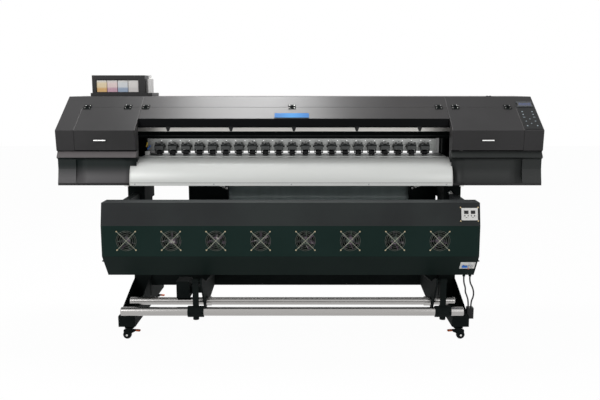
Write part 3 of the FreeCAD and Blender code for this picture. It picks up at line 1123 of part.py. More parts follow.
# ---------------------------------------------------------------- cables at the right leg
def cable_tube(points):
    """Round cable along straight runs joined by the largest tangent arcs that fit."""
    knots = [Vector(*point) for point in points]
    edges = []
    radii = []
    start = knots[0]
    for before, knot, after in zip(knots, knots[1:], knots[2:]):
        into = (knot - before).normalize()
        away = (after - knot).normalize()
        trim = 0.45 * min((knot - before).Length, (after - knot).Length)
        half_turn = into.getAngle(away) / 2
        radius = trim / math.tan(half_turn)
        radii.append(round(radius, 1))
        first = knot - into * trim
        last = knot + away * trim
        inward = (away - into).normalize()
        centre = knot + inward * (radius / math.cos(half_turn))
        middle = centre - inward * radius
        edges.append(Part.LineSegment(start, first).toShape())
        edges.append(Part.Arc(first, middle, last).toShape())
        start = last
    edges.append(Part.LineSegment(start, knots[-1]).toShape())
    path = Part.Wire(edges)
    section = Part.Wire([Part.makeCircle(CABLE_RADIUS, knots[0], knots[1] - knots[0])])
    tube = path.makePipeShell([section], True, False, 2)
    expected = math.pi * CABLE_RADIUS ** 2 * path.Length
    print("cable radii", radii, "volume ratio", round(tube.Volume / expected, 4))
    return tube


def make_cables():
    save("outer_cable", cable_tube(OUTER_CABLE))
    save("inner_cable", cable_tube(INNER_CABLE))
    x = RIGHT_LEG_X + FOOT_WIDTH / 2
    save("cable_plug_box", block(x, x + PLUG_BOX_WIDTH, PLUG_BOX_Y - PLUG_BOX_DEPTH / 2,
                                 PLUG_BOX_Y + PLUG_BOX_DEPTH / 2, PLUG_BOX_BOTTOM, PLUG_BOX_TOP))


os.makedirs("parts", exist_ok=True)
make_casters()
make_stand()
make_chassis()
make_guide()
make_rails()
make_pinch_row()
make_carriage()
make_cabinets()
make_covers()
make_ink_station()
make_panel()
make_dryer()
make_electrics()
make_take_up()
make_media_roll()
make_cables()
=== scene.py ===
"""Looks of a wide roll-fed printer cutter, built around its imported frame. Metres, +Z up, -Y front."""
import json
import math

import bmesh
import bpy
import numpy as np
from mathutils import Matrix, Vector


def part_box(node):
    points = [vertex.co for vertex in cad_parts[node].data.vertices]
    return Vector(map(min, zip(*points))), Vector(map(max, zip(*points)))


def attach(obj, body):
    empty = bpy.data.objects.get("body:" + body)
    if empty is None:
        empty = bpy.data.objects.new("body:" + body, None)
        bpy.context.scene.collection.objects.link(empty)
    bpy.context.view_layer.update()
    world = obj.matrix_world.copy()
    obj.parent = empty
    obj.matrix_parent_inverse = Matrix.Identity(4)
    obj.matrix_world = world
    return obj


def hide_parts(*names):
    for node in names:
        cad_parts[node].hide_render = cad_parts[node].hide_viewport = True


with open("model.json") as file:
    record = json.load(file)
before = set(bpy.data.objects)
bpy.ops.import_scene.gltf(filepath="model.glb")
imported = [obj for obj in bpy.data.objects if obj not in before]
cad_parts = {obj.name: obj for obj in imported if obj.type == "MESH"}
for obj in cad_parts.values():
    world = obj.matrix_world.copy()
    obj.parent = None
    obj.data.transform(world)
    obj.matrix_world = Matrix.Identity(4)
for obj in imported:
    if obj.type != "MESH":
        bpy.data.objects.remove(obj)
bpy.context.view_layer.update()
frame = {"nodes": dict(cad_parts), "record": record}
NODES = frame["nodes"]


# ---------------- shader maths
class Value:
    """A node socket that takes part in Python expressions; each operator adds one Math node."""

    def __init__(self, tree, socket):
        self.tree = tree
        self.socket = socket

    def maths(self, operation, *others):
        node = self.tree.nodes.new("ShaderNodeMath")
        node.operation = operation
        for slot, value in zip(node.inputs, (self,) + others):
            connect(self.tree, slot, value)
        return Value(self.tree, node.outputs[0])

    def __add__(self, other):
        return self.maths("ADD", other)

    def __sub__(self, other):
        return self.maths("SUBTRACT", other)

    def __mul__(self, other):
        return self.maths("MULTIPLY", other)

    def __gt__(self, other):
        return self.maths("GREATER_THAN", other)

    def __lt__(self, other):
        return self.maths("LESS_THAN", other)

    def ramp(self, low, high):
        """0 below low, 1 above high and smooth between them."""
        node = self.tree.nodes.new("ShaderNodeMapRange")
        node.interpolation_type = "SMOOTHSTEP"
        node.inputs["From Min"].default_value = low
        node.inputs["From Max"].default_value = high
        connect(self.tree, node.inputs["Value"], self)
        return Value(self.tree, node.outputs["Result"])


def connect(tree, slot, value):
    """Links a Value, or writes a number or colour on the socket."""
    if isinstance(value, Value):
        tree.links.new(value.socket, slot)
    elif isinstance(value, (tuple, list)) and len(slot.default_value) == 4 and len(value) == 3:
        slot.default_value = (*value, 1.0)
    else:
        slot.default_value = value


class Finish:
    """One material: its shader, the object's coordinates and one way to add any other node."""

    def __init__(self, name, color, roughness, metallic=0.0, coat=0.0, shine=0.5):
        self.material = bpy.data.materials.new(name)
        self.material.use_nodes = True
        self.tree = self.material.node_tree
        self.shader = self.tree.nodes["Principled BSDF"]
        self.place = self.node("ShaderNodeTexCoord", output="Object")
        split = self.tree.nodes.new("ShaderNodeSeparateXYZ")
        connect(self.tree, split.inputs[0], self.place)
        self.x, self.y, self.z = (Value(self.tree, out) for out in split.outputs)
        self.set("Base Color", color)
        self.set("Roughness", roughness)
        self.set("Metallic", metallic)
        self.set("Coat Weight", coat)
        self.set("Specular IOR Level", shine)

    def set(self, socket, value):
        connect(self.tree, self.shader.inputs[socket], value)

    def node(self, kind, output=0, settings=None, **inputs):
        node = self.tree.nodes.new(kind)
        for key, value in (settings or {}).items():
            setattr(node, key, value)
        for key, value in inputs.items():
            connect(self.tree, node.inputs[key.replace("_", " ")], value)
        return Value(self.tree, node.outputs[output])

    def noise(self, scale, detail=2.0, stretch=(1.0, 1.0, 1.0)):
        where = self.node("ShaderNodeMapping", Vector=self.place, Scale=stretch)
        return self.node("ShaderNodeTexNoise", Vector=where, Scale=scale, Detail=detail)

    def mix(self, mask, low, high):
        node = self.tree.nodes.new("ShaderNodeMix")
        node.data_type = "RGBA"
        connect(self.tree, node.inputs[0], mask)
        connect(self.tree, node.inputs[6], low)
        connect(self.tree, node.inputs[7], high)
        return Value(self.tree, node.outputs[2])

    def bump(self, height, distance, strength=1.0, edge=0.0):
        """Surface relief; edge rounds sharp corners by that radius."""
        inputs = {"Height": height, "Distance": distance, "Strength": strength}
        if edge:
            inputs["Normal"] = self.node("ShaderNodeBevel", settings={"samples": 4}, Radius=edge)
        self.set("Normal", self.node("ShaderNodeBump", **inputs))


def between(value, low, high):
    """1 where value lies between low and high."""
    return (value > low) * (value < high)


# ---------------- finishes
GRAIN = 900.0  # noise scale of sprayed coats


def mottled(finish, cloud, dark, light):
    """Colour that drifts between two close tones."""
    return finish.mix(cloud.ramp(0.3, 0.7), dark, light)


def sprayed(finish, cloud, floor, edge, speck=0.12, drift=0.08, depth=0.00012, strength=0.35):
    """Grain of a sprayed coat: roughness from floor upwards, and a fine relief."""
    fine = finish.noise(GRAIN)
    finish.set("Roughness", fine * speck + cloud * drift + floor)
    finish.bump(fine, depth, strength, edge)


def shades(color, dark, light):
    """The colour made darker and lighter by two factors."""
    return [c * dark for c in color], [min(1.0, c * light) for c in color]


def powder_coat(name, color, roughness, shine, edge):
    """Fine-grained powder coat with slight mottling and rounded sheet edges."""
    finish = Finish(name, color, roughness, shine=shine)
    cloud = finish.noise(3.0, 3.0)
    darker, lighter = shades(color, 0.84, 1.22)
    finish.set("Base Color", mottled(finish, cloud, darker, [c + 0.002 for c in lighter]))
    sprayed(finish, cloud, roughness - 0.09, edge, drift=0.06)
    return finish.material


def brushed_metal(name, color, roughness, stretch, metallic=1.0):
    """Metal with faint draw lines along one direction."""
    finish = Finish(name, color, roughness, metallic)
    lines = finish.noise(60.0, 3.0, stretch)
    cloud = finish.noise(5.0)
    finish.set("Base Color", finish.mix(lines, *shades(color, 0.9, 1.06)))
    finish.set("Roughness", lines * 0.1 + cloud * 0.08 + (roughness - 0.09))
    finish.bump(lines, 0.00005, 0.25, 0.0008)
    return finish.material


def moulded_plastic(name, color, roughness, shine=0.5):
    """Moulded plastic with a light spark texture."""
    finish = Finish(name, color, roughness, shine=shine)
    spark = finish.noise(1400.0, 1.0)
    cloud = finish.noise(9.0)
    finish.set("Base Color", finish.mix(cloud, *shades(color, 0.93, 1.05)))
    finish.set("Roughness", spark * 0.1 + (roughness - 0.05))
    finish.bump(spark, 0.00006, 0.3, 0.0006)
    return finish.material


# ---------------- mesh building
def surface(points, wrap_u=False, wrap_v=False):
    """Quads over an (n, m, 3) grid of points; wrapped directions close on themselves."""
    points = np.asarray(points, dtype=float)
    n, m = points.shape[:2]
    i, j = np.indices((n if wrap_u else n - 1, m if wrap_v else m - 1)).reshape(2, -1)
    row, next_row, next_j = i * m, (i + 1) % n * m, (j + 1) % m
    corners = np.stack([row + j, next_row + j, next_row + next_j, row + next_j], 1)
    return points.reshape(-1, 3), corners


def turned(profile, sides=32):
    """Lathe form about +X: (along, radius) pairs, swept as along, radius*cos, radius*sin."""
    along, radius = np.asarray(profile, dtype=float).T
    angle = np.linspace(0, 2 * np.pi, sides, endpoint=False)[:, None]
    grid = np.stack([np.broadcast_to(along, (sides, len(along))), radius * np.cos(angle),
                     radius * np.sin(angle)], 2)
    return surface(grid, wrap_u=True)


def rounded_slab(width, depth, height, corner, bevel=0.0008, sides=8):
    """Plate with rounded corners whose outline shrinks by the bevel at both faces."""
    quarter = np.linspace(0, np.pi / 2, sides)
    ring = []
    for sx, sy, start in ((1, 1, 0), (-1, 1, 1), (-1, -1, 2), (1, -1, 3)):
        angle = quarter + start * np.pi / 2
        ring.append(np.stack([sx * (width / 2 - corner) + corner * np.cos(angle),
                              sy * (depth / 2 - corner) + corner * np.sin(angle)], 1))
    ring = np.concatenate(ring)
    centre = np.zeros((1, 2))
    levels = [(0.0, 0.0, 0), (1.0, 0.0, bevel), (1.0, bevel, 0), (1.0, height - bevel, 0),
              (1.0, height, bevel), (0.0, height, 0)]
    rows = []
    for keep, z, shrink in levels:
        scale = keep * (1 - 2 * shrink / min(width, depth))
        rows.append(np.concatenate([centre + ring * scale, np.full((len(ring), 1), z)], 1))
    return surface(np.array(rows)[::-1], wrap_v=True)


def tube_along(path, radius, sides):
    """Round tube: circles square to a polyline, framed by a fixed side vector."""
    path = np.asarray(path, dtype=float)
    ahead = np.gradient(path, axis=0)
    ahead /= np.linalg.norm(ahead, axis=1)[:, None]
    side = np.cross(ahead, np.array([0.31, 0.23, 0.92]))
    side /= np.linalg.norm(side, axis=1)[:, None]
    up = np.cross(side, ahead)
    angle = np.linspace(0, 2 * np.pi, sides, endpoint=False)
    grid = path[:, None] + radius * (np.cos(angle)[None, :, None] * side[:, None]
                                     + np.sin(angle)[None, :, None] * up[:, None])
    ends = [np.broadcast_to(path[k], grid[0].shape)[None] for k in (0, -1)]
    return surface(np.concatenate([ends[0], grid, ends[1]]), wrap_v=True)


def along_x(section, xs):
    """Grid of one (y, z) section repeated at every x."""
    return np.stack([np.column_stack([np.full(len(section), x), section]) for x in xs])


def extruded(outline, x0, x1):
    """Closed (y, z) outline carried along X, with both ends closed on its middle."""
    first, last = along_x(outline, (x0, x1))
    caps = along_x(np.tile(np.mean(outline, 0), (len(outline), 1)), (x0, x1))
    return surface([caps[0], first, last, caps[1]], wrap_v=True)


def rotation(axis, degrees):
    """Matrix of a right-handed turn about a row axis."""
    c, s = math.cos(math.radians(degrees)), math.sin(math.radians(degrees))
    rows = {"x": [[1, 0, 0], [0, c, -s], [0, s, c]], "y": [[c, 0, s], [0, 1, 0], [-s, 0, c]],
            "z": [[c, -s, 0], [s, c, 0], [0, 0, 1]]}
    return np.array(rows[axis])


def placed(shape, at=(0, 0, 0), *turns):
    """The shape turned by each (axis, degrees) in order, then moved."""
    points, faces = shape
    for axis, degrees in turns:
        points = points @ rotation(axis, degrees).T
    return points + np.array(at), faces


def in_scene(name, data):
    """A new object linked to the scene."""
    thing = bpy.data.objects.new(name, data)
    bpy.context.scene.collection.objects.link(thing)
    return thing


def piece(name, shapes, material, body="machine"):
    """One object from several surfaces: doubles merged, normals outwards, finish and body set."""
    offset, points, faces = 0, [], []
    for verts, quads in shapes:
        points.append(verts)
        faces.append(quads + offset)
        offset += len(verts)
    mesh = bpy.data.meshes.new(name)
    mesh.from_pydata(np.concatenate(points).tolist(), [], np.concatenate(faces).tolist())
    work = bmesh.new()
    work.from_mesh(mesh)
    bmesh.ops.remove_doubles(work, verts=work.verts, dist=2e-6)
    bmesh.ops.dissolve_degenerate(work, edges=work.edges, dist=1e-7)
    bmesh.ops.recalc_face_normals(work, faces=work.faces)
    work.to_mesh(mesh)
    work.free()
    mesh.materials.append(material)
    mesh.shade_smooth()
    mesh.set_sharp_from_angle(angle=math.radians(35))
    thing = in_scene(name, mesh)
    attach(thing, body)
    return thing


def bolt_head(radius, height):
    """Round cap head about +X with a small hollow in its face."""
    return turned([(0, 0), (0, radius), (height * 0.7, radius), (height, radius * 0.82),
                   (height, radius * 0.5), (height * 0.45, radius * 0.45), (height * 0.45, 0)], 14)


def wing_knob(radius, height):
    """Wing bolt about +X: a boss with two flat lobes."""
    lobe = rounded_slab(radius * 1.5, height, radius * 0.5, radius * 0.2)
    boss = turned([(0, 0), (0, radius * 0.55), (height * 0.8, radius * 0.42), (height, radius * 0.3),
                   (height, 0)], 16)
    left = placed(lobe, (height * 0.5, radius * 0.8, -radius * 0.25), ("z", 60))
    right = placed(lobe, (height * 0.5, -radius * 0.8, -radius * 0.25), ("z", -60))
    return [boss, left, right]


# ---------------- finishes of this machine
BLACK_COAT = powder_coat("black powder coat", (0.004, 0.0062, 0.006), 0.8, 0.08, 0.001)
TUBE_STEEL = brushed_metal("polished steel tube", (0.4, 0.39, 0.38), 0.2, (0.15, 8.0, 8.0))
HANDLE_STEEL = brushed_metal("satin handle bar", (0.85, 0.85, 0.84), 0.3, (0.3, 6.0, 6.0))
ROLLER_STEEL = brushed_metal("ground steel", (0.5, 0.51, 0.52), 0.3, (4.0, 0.6, 0.6))
RAIL_STEEL = brushed_metal("linear rail steel", (0.86, 0.84, 0.8), 0.32, (0.2, 8.0, 8.0), metallic=0.6)
ALUMINIUM = brushed_metal("natural aluminium", (0.4, 0.41, 0.4), 0.36, (0.2, 7.0, 7.0), metallic=0.85)
SCREW_STEEL = brushed_metal("bright screw", (0.6, 0.6, 0.58), 0.3, (3.0, 3.0, 3.0))
BRASSY = brushed_metal("yellow zinc screw", (0.62, 0.5, 0.3), 0.35, (3.0, 3.0, 3.0), metallic=0.8)
BLACK_PLASTIC = moulded_plastic("black moulding", (0.006, 0.007, 0.0075), 0.42, 0.25)
SMOKED = moulded_plastic("smoked cover front", (0.003, 0.0035, 0.004), 0.3, 0.05)
ENCODER = moulded_plastic("encoder film", (0.022, 0.025, 0.025), 0.3, 0.2)
FRAME_GREY = moulded_plastic("display frame", (0.11, 0.12, 0.13), 0.4)
# painted highlight: light-grey colour for thin strips that stand for lit sheet edges
SEAM_HIGHLIGHT = moulded_plastic("painted seam highlight", (0.1, 0.095, 0.095), 0.5)
SATIN_BLACK = moulded_plastic("satin black cap", (0.012, 0.013, 0.014), 0.35, 0.35)
WHITE_PLASTIC = moulded_plastic("white moulding", (0.74, 0.74, 0.72), 0.32)
ORANGE_PLASTIC = moulded_plastic("orange pedal", (0.6, 0.1, 0.012), 0.4)
BLUE_PLASTIC = moulded_plastic("blue toggle", (0.02, 0.18, 0.72), 0.35)
YELLOW_PLASTIC = moulded_plastic("yellow tube", (0.75, 0.5, 0.05), 0.35)
RUBBER = moulded_plastic("roller rubber", (0.006, 0.006, 0.007), 0.6, 0.25)
KEY_PRINT = moulded_plastic("pale key print", (0.32, 0.38, 0.42), 0.5)
CORD_SHEATH = moulded_plastic("cable sheath", (0.014, 0.015, 0.016), 0.45)

LEDGE_TOP_Z = 1.102  # top of the ledge strip under the lids
LEDGE_BOTTOM_Z = 1.0688
PANEL_BOTTOM_Z = 0.918  # lower edge of the hollow panels under the ledge
FRONT_BAND_Y = -0.15  # cabinet sheets before this are the front
COVER_BEND = (-0.1085, 1.2905)  # y and z below which the cover's front is upright
DRYER_BREAKS_Z = (0.5435, 0.7165)  # between lower, middle and upper dryer face


def guard_finish():
    """Dull rings and wires, with a lighter yellowish painted highlight along the middle of the diagonal
    wires: the diagonals are where a fan's two local distances match.
    """
    finish = Finish("fan guard wire", (0.2, 0.2, 0.19), 0.35, 0.85)
    low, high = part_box("fan_rotor_1")
    first, height = (low[0] + high[0]) / 2, (low[2] + high[2]) / 2
    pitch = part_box("fan_rotor_2")[0][0] - low[0]
    across = ((finish.x - (first - pitch / 2)) * (1.0 / pitch)).maths("FRACT")
    across = ((across - 0.5) * pitch).maths("ABSOLUTE")
    upwards = (finish.z - height).maths("ABSOLUTE")
    diagonal = (across - upwards).maths("ABSOLUTE") < 0.0017
    # painted highlight: narrow lighter stripe along the middle of each diagonal wire
    finish.set("Base Color", finish.mix(diagonal, (0.1, 0.115, 0.1), (0.33, 0.34, 0.27)))
    finish.set("Roughness", finish.noise(300.0) * 0.2 + 0.25)
    finish.bump(finish.noise(400.0), 0.00005, 0.2)
    return finish.material


def rotor_finish():
    """Smoked fan blades with painted reflections: violet, green and pale glints painted into the colour."""
    finish = Finish("smoked fan blade", (0.03, 0.035, 0.035), 0.28)
    # painted reflections: pale glints and violet or green reflected light, painted into the blade colour
    glint = finish.noise(38.0, 1.0)
    reflection_hue = finish.noise(21.0, 1.0)
    shade = finish.mix(reflection_hue.ramp(0.45, 0.6), (0.16, 0.1, 0.16), (0.07, 0.11, 0.08))
    shade = finish.mix(glint.ramp(0.42, 0.62), (0.012, 0.02, 0.018), shade)
    finish.set("Base Color", finish.mix(glint.ramp(0.66, 0.72), shade, (0.5, 0.48, 0.46)))
    finish.bump(finish.noise(60.0), 0.001, 0.4, 0.001)
    return finish.material


def cover_finish():
    """Charcoal satin lid; its upright front strip and catches below the bend are smoked black."""
    finish = Finish("front cover coat", (0.024, 0.0225, 0.023), 0.34, shine=0.25)
    cloud = finish.noise(3.0, 3.0)
    satin = mottled(finish, cloud, (0.021, 0.0195, 0.02), (0.029, 0.0275, 0.028))
    strip = (finish.z < COVER_BEND[1]) * (finish.y < COVER_BEND[0])
    finish.set("Base Color", finish.mix(strip, satin, (0.0015, 0.002, 0.002)))
    sprayed(finish, cloud, 0.34, 0.0015, 0.1, 0.06, 0.0001, 0.3)
    return finish.material


def guide_finish():
    """Satin silver guide sheet: very fine lengthwise lines, a soft clear coat and light handling marks."""
    finish = Finish("satin silver guide", (0.7, 0.71, 0.7), 0.34, 0.2, coat=0.15)
    lines = finish.noise(40.0, 3.0, (0.12, 9.0, 9.0))
    marks = finish.noise(7.0, 4.0, (0.5, 1.0, 1.0))
    finish.set("Base Color", finish.mix(marks, (0.74, 0.76, 0.735), (0.8, 0.81, 0.79)))
    finish.set("Roughness", lines * 0.08 + marks * 0.12 + 0.24)
    finish.bump(lines, 0.00003, 0.2)
    return finish.material


def pinch_finish():
    """Grey cast arms whose spring ears and lowest edge are black."""
    finish = Finish("cast pinch arm", (0.1, 0.11, 0.11), 0.4)
    cloud = finish.noise(30.0, 2.0)
    grey = finish.mix(cloud, (0.036, 0.04, 0.04), (0.058, 0.063, 0.063))
    black = (finish.z > 1.1315) + (finish.z < 1.0865)
    finish.set("Base Color", finish.mix(black, grey, (0.006, 0.006, 0.0065)))
    finish.bump(finish.noise(500.0), 0.0001, 0.3, 0.0008)
    return finish.material


def badge_finish():
    """Plain printed plate: light blue that deepens towards both ends, with a narrow dark lower edge."""
    finish = Finish("blue badge", (0.04, 0.32, 0.7), 0.6, shine=0.15)
    low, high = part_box("badge_plate")
    away = (finish.x - (low[0] + high[0]) / 2).maths("ABSOLUTE")
    body = finish.mix(away.ramp(0.0, 0.1), (0.028, 0.21, 0.5), (0.013, 0.13, 0.38))
    finish.set("Base Color", finish.mix(finish.z < low[2] + 0.0035, body, (0.02, 0.07, 0.12)))
    finish.bump(finish.noise(600.0), 0.00004, 0.2, 0.0006)
    return finish.material


def tank_finish():
    """Four translucent tanks side by side, each with its own ink low down, and the clear spare bottle."""
    finish = Finish("ink tank", (0.8, 0.8, 0.8), 0.28, coat=0.3)
    low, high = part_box("ink_tanks")
    left, right = low[0] - 0.002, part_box("ink_rack")[1][0] - 0.09
    pitch = (right - left) / 4
    pale = ((0.95, 0.78, 0.5), (0.93, 0.75, 0.73), (0.8, 0.83, 0.86), (0.86, 0.83, 0.8))
    deep = ((0.85, 0.5, 0.17), (0.68, 0.4, 0.5), (0.36, 0.46, 0.62), (0.76, 0.73, 0.71))
    upper, lower = pale[0], deep[0]
    for number in (1, 2, 3):
        beyond = finish.x > left + number * pitch
        upper = finish.mix(beyond, upper, pale[number])
        lower = finish.mix(beyond, lower, deep[number])
    level = finish.z + finish.noise(12.0) * 0.006
    fluid = level.ramp(low[2] + 0.028, low[2] + 0.045)
    color = finish.mix(fluid, lower, upper)
    color = finish.mix(finish.z.ramp(high[2] - 0.055, high[2] - 0.03), color, (0.85, 0.83, 0.8))
    finish.set("Base Color", finish.mix(finish.x > right + 0.004, color, (0.82, 0.81, 0.8)))
    finish.bump(finish.noise(200.0), 0.0001, 0.2, 0.001)
    return finish.material


def screen_finish():
    """Lit display: blue field with two rows of plain lighter cells inside a dark rim."""
    finish = Finish("lit display", (0.02, 0.09, 0.3), 0.15, coat=0.6)
    low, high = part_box("display")
    across = (finish.x - low[0]) * (1.0 / (high[0] - low[0]))
    rise = (finish.z - low[2]) * (1.0 / (high[2] - low[2]))
    field = between(across, 0.07, 0.93) * between(rise, 0.16, 0.84)
    cell = ((across * 16.0).maths("FRACT") > 0.28) * ((rise * 3.6).maths("FRACT") > 0.4)
    grid = finish.node("ShaderNodeCombineXYZ", X=across * 16.0, Y=rise * 3.6)
    number = finish.node("ShaderNodeVectorMath", settings={"operation": "FLOOR"}, Vector=grid)
    spread = finish.node("ShaderNodeTexWhiteNoise", output="Value", Vector=number)
    lit = field * cell * (spread > 0.35)
    glow = finish.mix(lit, (0.004, 0.014, 0.055), (0.008, 0.03, 0.12))
    finish.set("Base Color", finish.mix(field, (0.008, 0.008, 0.01), glow))
    finish.set("Emission Color", finish.mix(field, (0.0, 0.0, 0.0), glow))
    finish.set("Emission Strength", 0.3)
    return finish.material


def media_finish():
    """Wound film: blue-grey face with faint bands where the web lies in layers."""
    finish = Finish("wound film", (0.2, 0.25, 0.25), 0.3, coat=0.3)
    bands = finish.noise(4.0, 3.0, (6.0, 0.2, 0.2))
    finish.set("Base Color", finish.mix(bands, (0.36, 0.43, 0.43), (0.46, 0.55, 0.55)))
    finish.set("Roughness", bands * 0.15 + 0.28)
    finish.bump(bands, 0.0002, 0.2)
    return finish.material


def cabinet_finish():
    """Charcoal coat with painted light: a painted highlight on the upward-facing ledge strip, and a hollow
    lower front with painted shade under the ledge that turns to a painted highlight at its foot; the left
    cabinet is painted lighter than the right.
    """
    finish = Finish("cabinet powder coat", (0.022, 0.022, 0.022), 0.42, shine=0.22)
    cloud = finish.noise(3.0, 3.0)
    coat = mottled(finish, cloud, (0.021, 0.0205, 0.021), (0.028, 0.027, 0.028))
    # painted light by side: the left cabinet (x below zero) gets lighter tones than the right
    right = finish.x > 0.0
    foot = finish.mix(right, (0.09, 0.087, 0.09), (0.026, 0.028, 0.0275))
    ledge_shade_tone = finish.mix(right, (0.005, 0.0095, 0.009), (0.018, 0.0205, 0.02))
    # painted shade under the ledge, fading into a painted highlight at the foot of the hollow
    hollow = finish.mix(finish.z.ramp(0.945, 1.03), foot, ledge_shade_tone)
    band = finish.y < FRONT_BAND_Y
    # painted highlight on the ledge strip that faces up
    ledge = between(finish.z, LEDGE_BOTTOM_Z, LEDGE_TOP_Z + 0.0005) * band
    color = finish.mix(between(finish.z, PANEL_BOTTOM_Z, LEDGE_BOTTOM_Z) * band, coat, hollow)
    color = finish.mix(ledge, color, finish.mix(right, (0.15, 0.138, 0.14), (0.026, 0.029, 0.028)))
    finish.set("Base Color", color)
    sprayed(finish, cloud, 0.32, 0.0025)
    return finish.material


def dryer_finish():
    """Green-black coat of the dryer, painted greyer on the upper face that looks up into the light and
    painted darker on the lower face that lies in shade.
    """
    finish = Finish("dryer powder coat", (0.0105, 0.0205, 0.0185), 0.46, shine=0.05)
    cloud = finish.noise(2.5, 3.0)
    # painted light: lit tone for the upper face, shaded tone for the lower face
    upper = mottled(finish, cloud, (0.029, 0.031, 0.032), (0.036, 0.041, 0.0405))
    middle = mottled(finish, cloud, (0.0085, 0.0205, 0.0175), (0.0105, 0.0235, 0.0205))
    lower = mottled(finish, cloud, (0.0045, 0.0105, 0.009), (0.006, 0.0125, 0.011))
    color = finish.mix(finish.z > DRYER_BREAKS_Z[1], middle, upper)
    finish.set("Base Color", finish.mix(finish.z < DRYER_BREAKS_Z[0], color, lower))
    sprayed(finish, cloud, 0.38, 0.0025)
    return finish.material


GUIDE = guide_finish()
CABINET = cabinet_finish()
COVER = cover_finish()
ROTOR = rotor_finish()


# ---------------- places taken from the frame
def span(node):
    """Lowest and highest corner of a CAD node as arrays."""
    low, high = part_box(node)
    return np.array(low), np.array(high)


SLOPE = 33.7  # degrees, sloped top of cabinets and cover
SLOPE_COS, SLOPE_SIN = math.cos(math.radians(SLOPE)), math.sin(math.radians(SLOPE))
SLOPE_TAN = math.tan(math.radians(SLOPE))
CABINET_LOW, CABINET_HIGH = span("left_cabinet")
LID_LOW, LID_HIGH = span("left_lid")
FRONT_Y = LID_LOW[1]
EDGE_Z = 1.227  # front edge of the sloped top
GUIDE_LOW, GUIDE_HIGH = span("paper_guide")
DRYER_LOW, DRYER_HIGH = span("dryer_shell")
FAN_CENTRES = [(sum(span("fan_rotor_%d" % n)) / 2)[[0, 2]] for n in range(1, 9)]
DRYER_FACE_Y = DRYER_LOW[1]
PINCH_PITCH = 0.0823
PINCH_COUNT = 21
MACHINE_BACK_Y = span("rear_cover")[1][1]
HINGE_Y = -0.015  # axis of the lids and of the cover
GUIDE_BEND_Z = 0.922  # where the guide's flange ends and its round begins
GUIDE_BACK_Y = -0.034
GUIDE_CAP_TOP_Z = 1.048


def on_slope(x, y, lift=0.0):
    """Point on the sloped top at depth y, raised square to it."""
    return (x, y - lift * SLOPE_SIN, EDGE_Z + (y - FRONT_Y) * SLOPE_TAN + lift * SLOPE_COS)


# ---------------- paper guide
def guide_path(inset):
    """(y, z) of the guide sheet: flange, quarter round of radius r, flat top; inset moves it inwards."""
    low, high = GUIDE_LOW, GUIDE_HIGH
    radius = high[2] - GUIDE_BEND_Z
    centre_y = low[1] + radius
    turn = np.linspace(np.pi, np.pi / 2, 40)
    flange = [(low[1] + inset, low[2])]
    rounded = np.stack([centre_y + (radius - inset) * np.cos(turn),
                        GUIDE_BEND_Z + (radius - inset) * np.sin(turn)], 1)
    flat = [(y, high[2] - inset) for y in np.linspace(centre_y + 0.01, GUIDE_BACK_Y - 0.0002, 6)]
    return np.concatenate([flange, rounded, flat])


def make_guide():
    """Bent silver sheet between two rounded white end plates, held by screws along its flange."""
    outer, inner = guide_path(0.0), guide_path(0.003)
    left, right = GUIDE_LOW[0] + 0.006, GUIDE_HIGH[0] - 0.006
    loop = np.concatenate([outer, inner[::-1]])
    grid = along_x(loop, np.linspace(left, right, 40))
    sheet = piece("guide_sheet", [surface(grid, wrap_v=True)], GUIDE)
    cap_y = GUIDE_BACK_Y + 0.012
    closed = np.concatenate([outer, [(GUIDE_BACK_Y, GUIDE_CAP_TOP_Z), (cap_y, GUIDE_CAP_TOP_Z),
                                     (cap_y, GUIDE_LOW[2])]])
    plates = [extruded(closed, GUIDE_LOW[0], left), extruded(closed, right, GUIDE_HIGH[0])]
    ends = piece("guide_end_caps", plates, WHITE_PLASTIC)
    bevel = ends.modifiers.new("soft edge", "BEVEL")
    bevel.width = 0.0012
    bevel.segments = 2
    bevel.limit_method = "ANGLE"
    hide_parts("paper_guide")
    screws = [placed(screw_facing(0.0045, 0.003), (x, GUIDE_LOW[1], GUIDE_BEND_Z - 0.009))
              for x in (-0.968, -0.504, -0.049, 0.405, 0.862)]
    piece("guide_screws", screws, ROLLER_STEEL)
    groove = rounded_slab(right - left, 0.0016, 0.0004, 0.0005, 0.0001, 3)
    at = ((left + right) / 2, GUIDE_LOW[1], GUIDE_BEND_Z - 0.0005)
    piece("guide_flange_groove", [placed(groove, at, ("x", 90))], BLACK_PLASTIC)


# ---------------- cabinets
def hollow_panel(x0, x1, name):
    """Lower front panel as one smooth hollow between the lip and the ledge."""
    recess, t = 0.024, np.linspace(0, 1, 36)
    low, top = CABINET_LOW[2] + 0.014, 1.062
    depth = recess * (1 - (1 - np.clip(t / 0.62, 0, 1)) ** 2.1)
    closing = np.clip((t - 0.9) / 0.1, 0, 1)
    depth = depth * (1 - 0.55 * closing ** 2)
    section = np.column_stack([FRONT_Y + 0.0035 + depth, low + (top - low) * t])
    panel = piece(name, [surface(along_x(section, np.linspace(x0, x1, 6)))], CABINET)
    wall = panel.modifiers.new("sheet", "SOLIDIFY")
    wall.thickness = 0.0012
    wall.offset = -1


def make_cabinet_details():
    """Smooth lower panels and the plate clips below them."""
    right_low, right_high = span("right_lid")
    hollow_panel(LID_LOW[0], LID_HIGH[0] - 0.001, "left_lower_panel")
    hollow_panel(right_low[0] + 0.001, right_high[0], "right_lower_panel")
    bottom, half = CABINET_LOW[2], 0.012
    outline = [(-0.185, bottom), (-0.13, bottom), (-0.155, bottom - 0.013)]
    clips = [extruded(outline, x - half, x + half) for x in (-1.032, 0.965)]
    piece("cabinet_clips", clips, SCREW_STEEL)


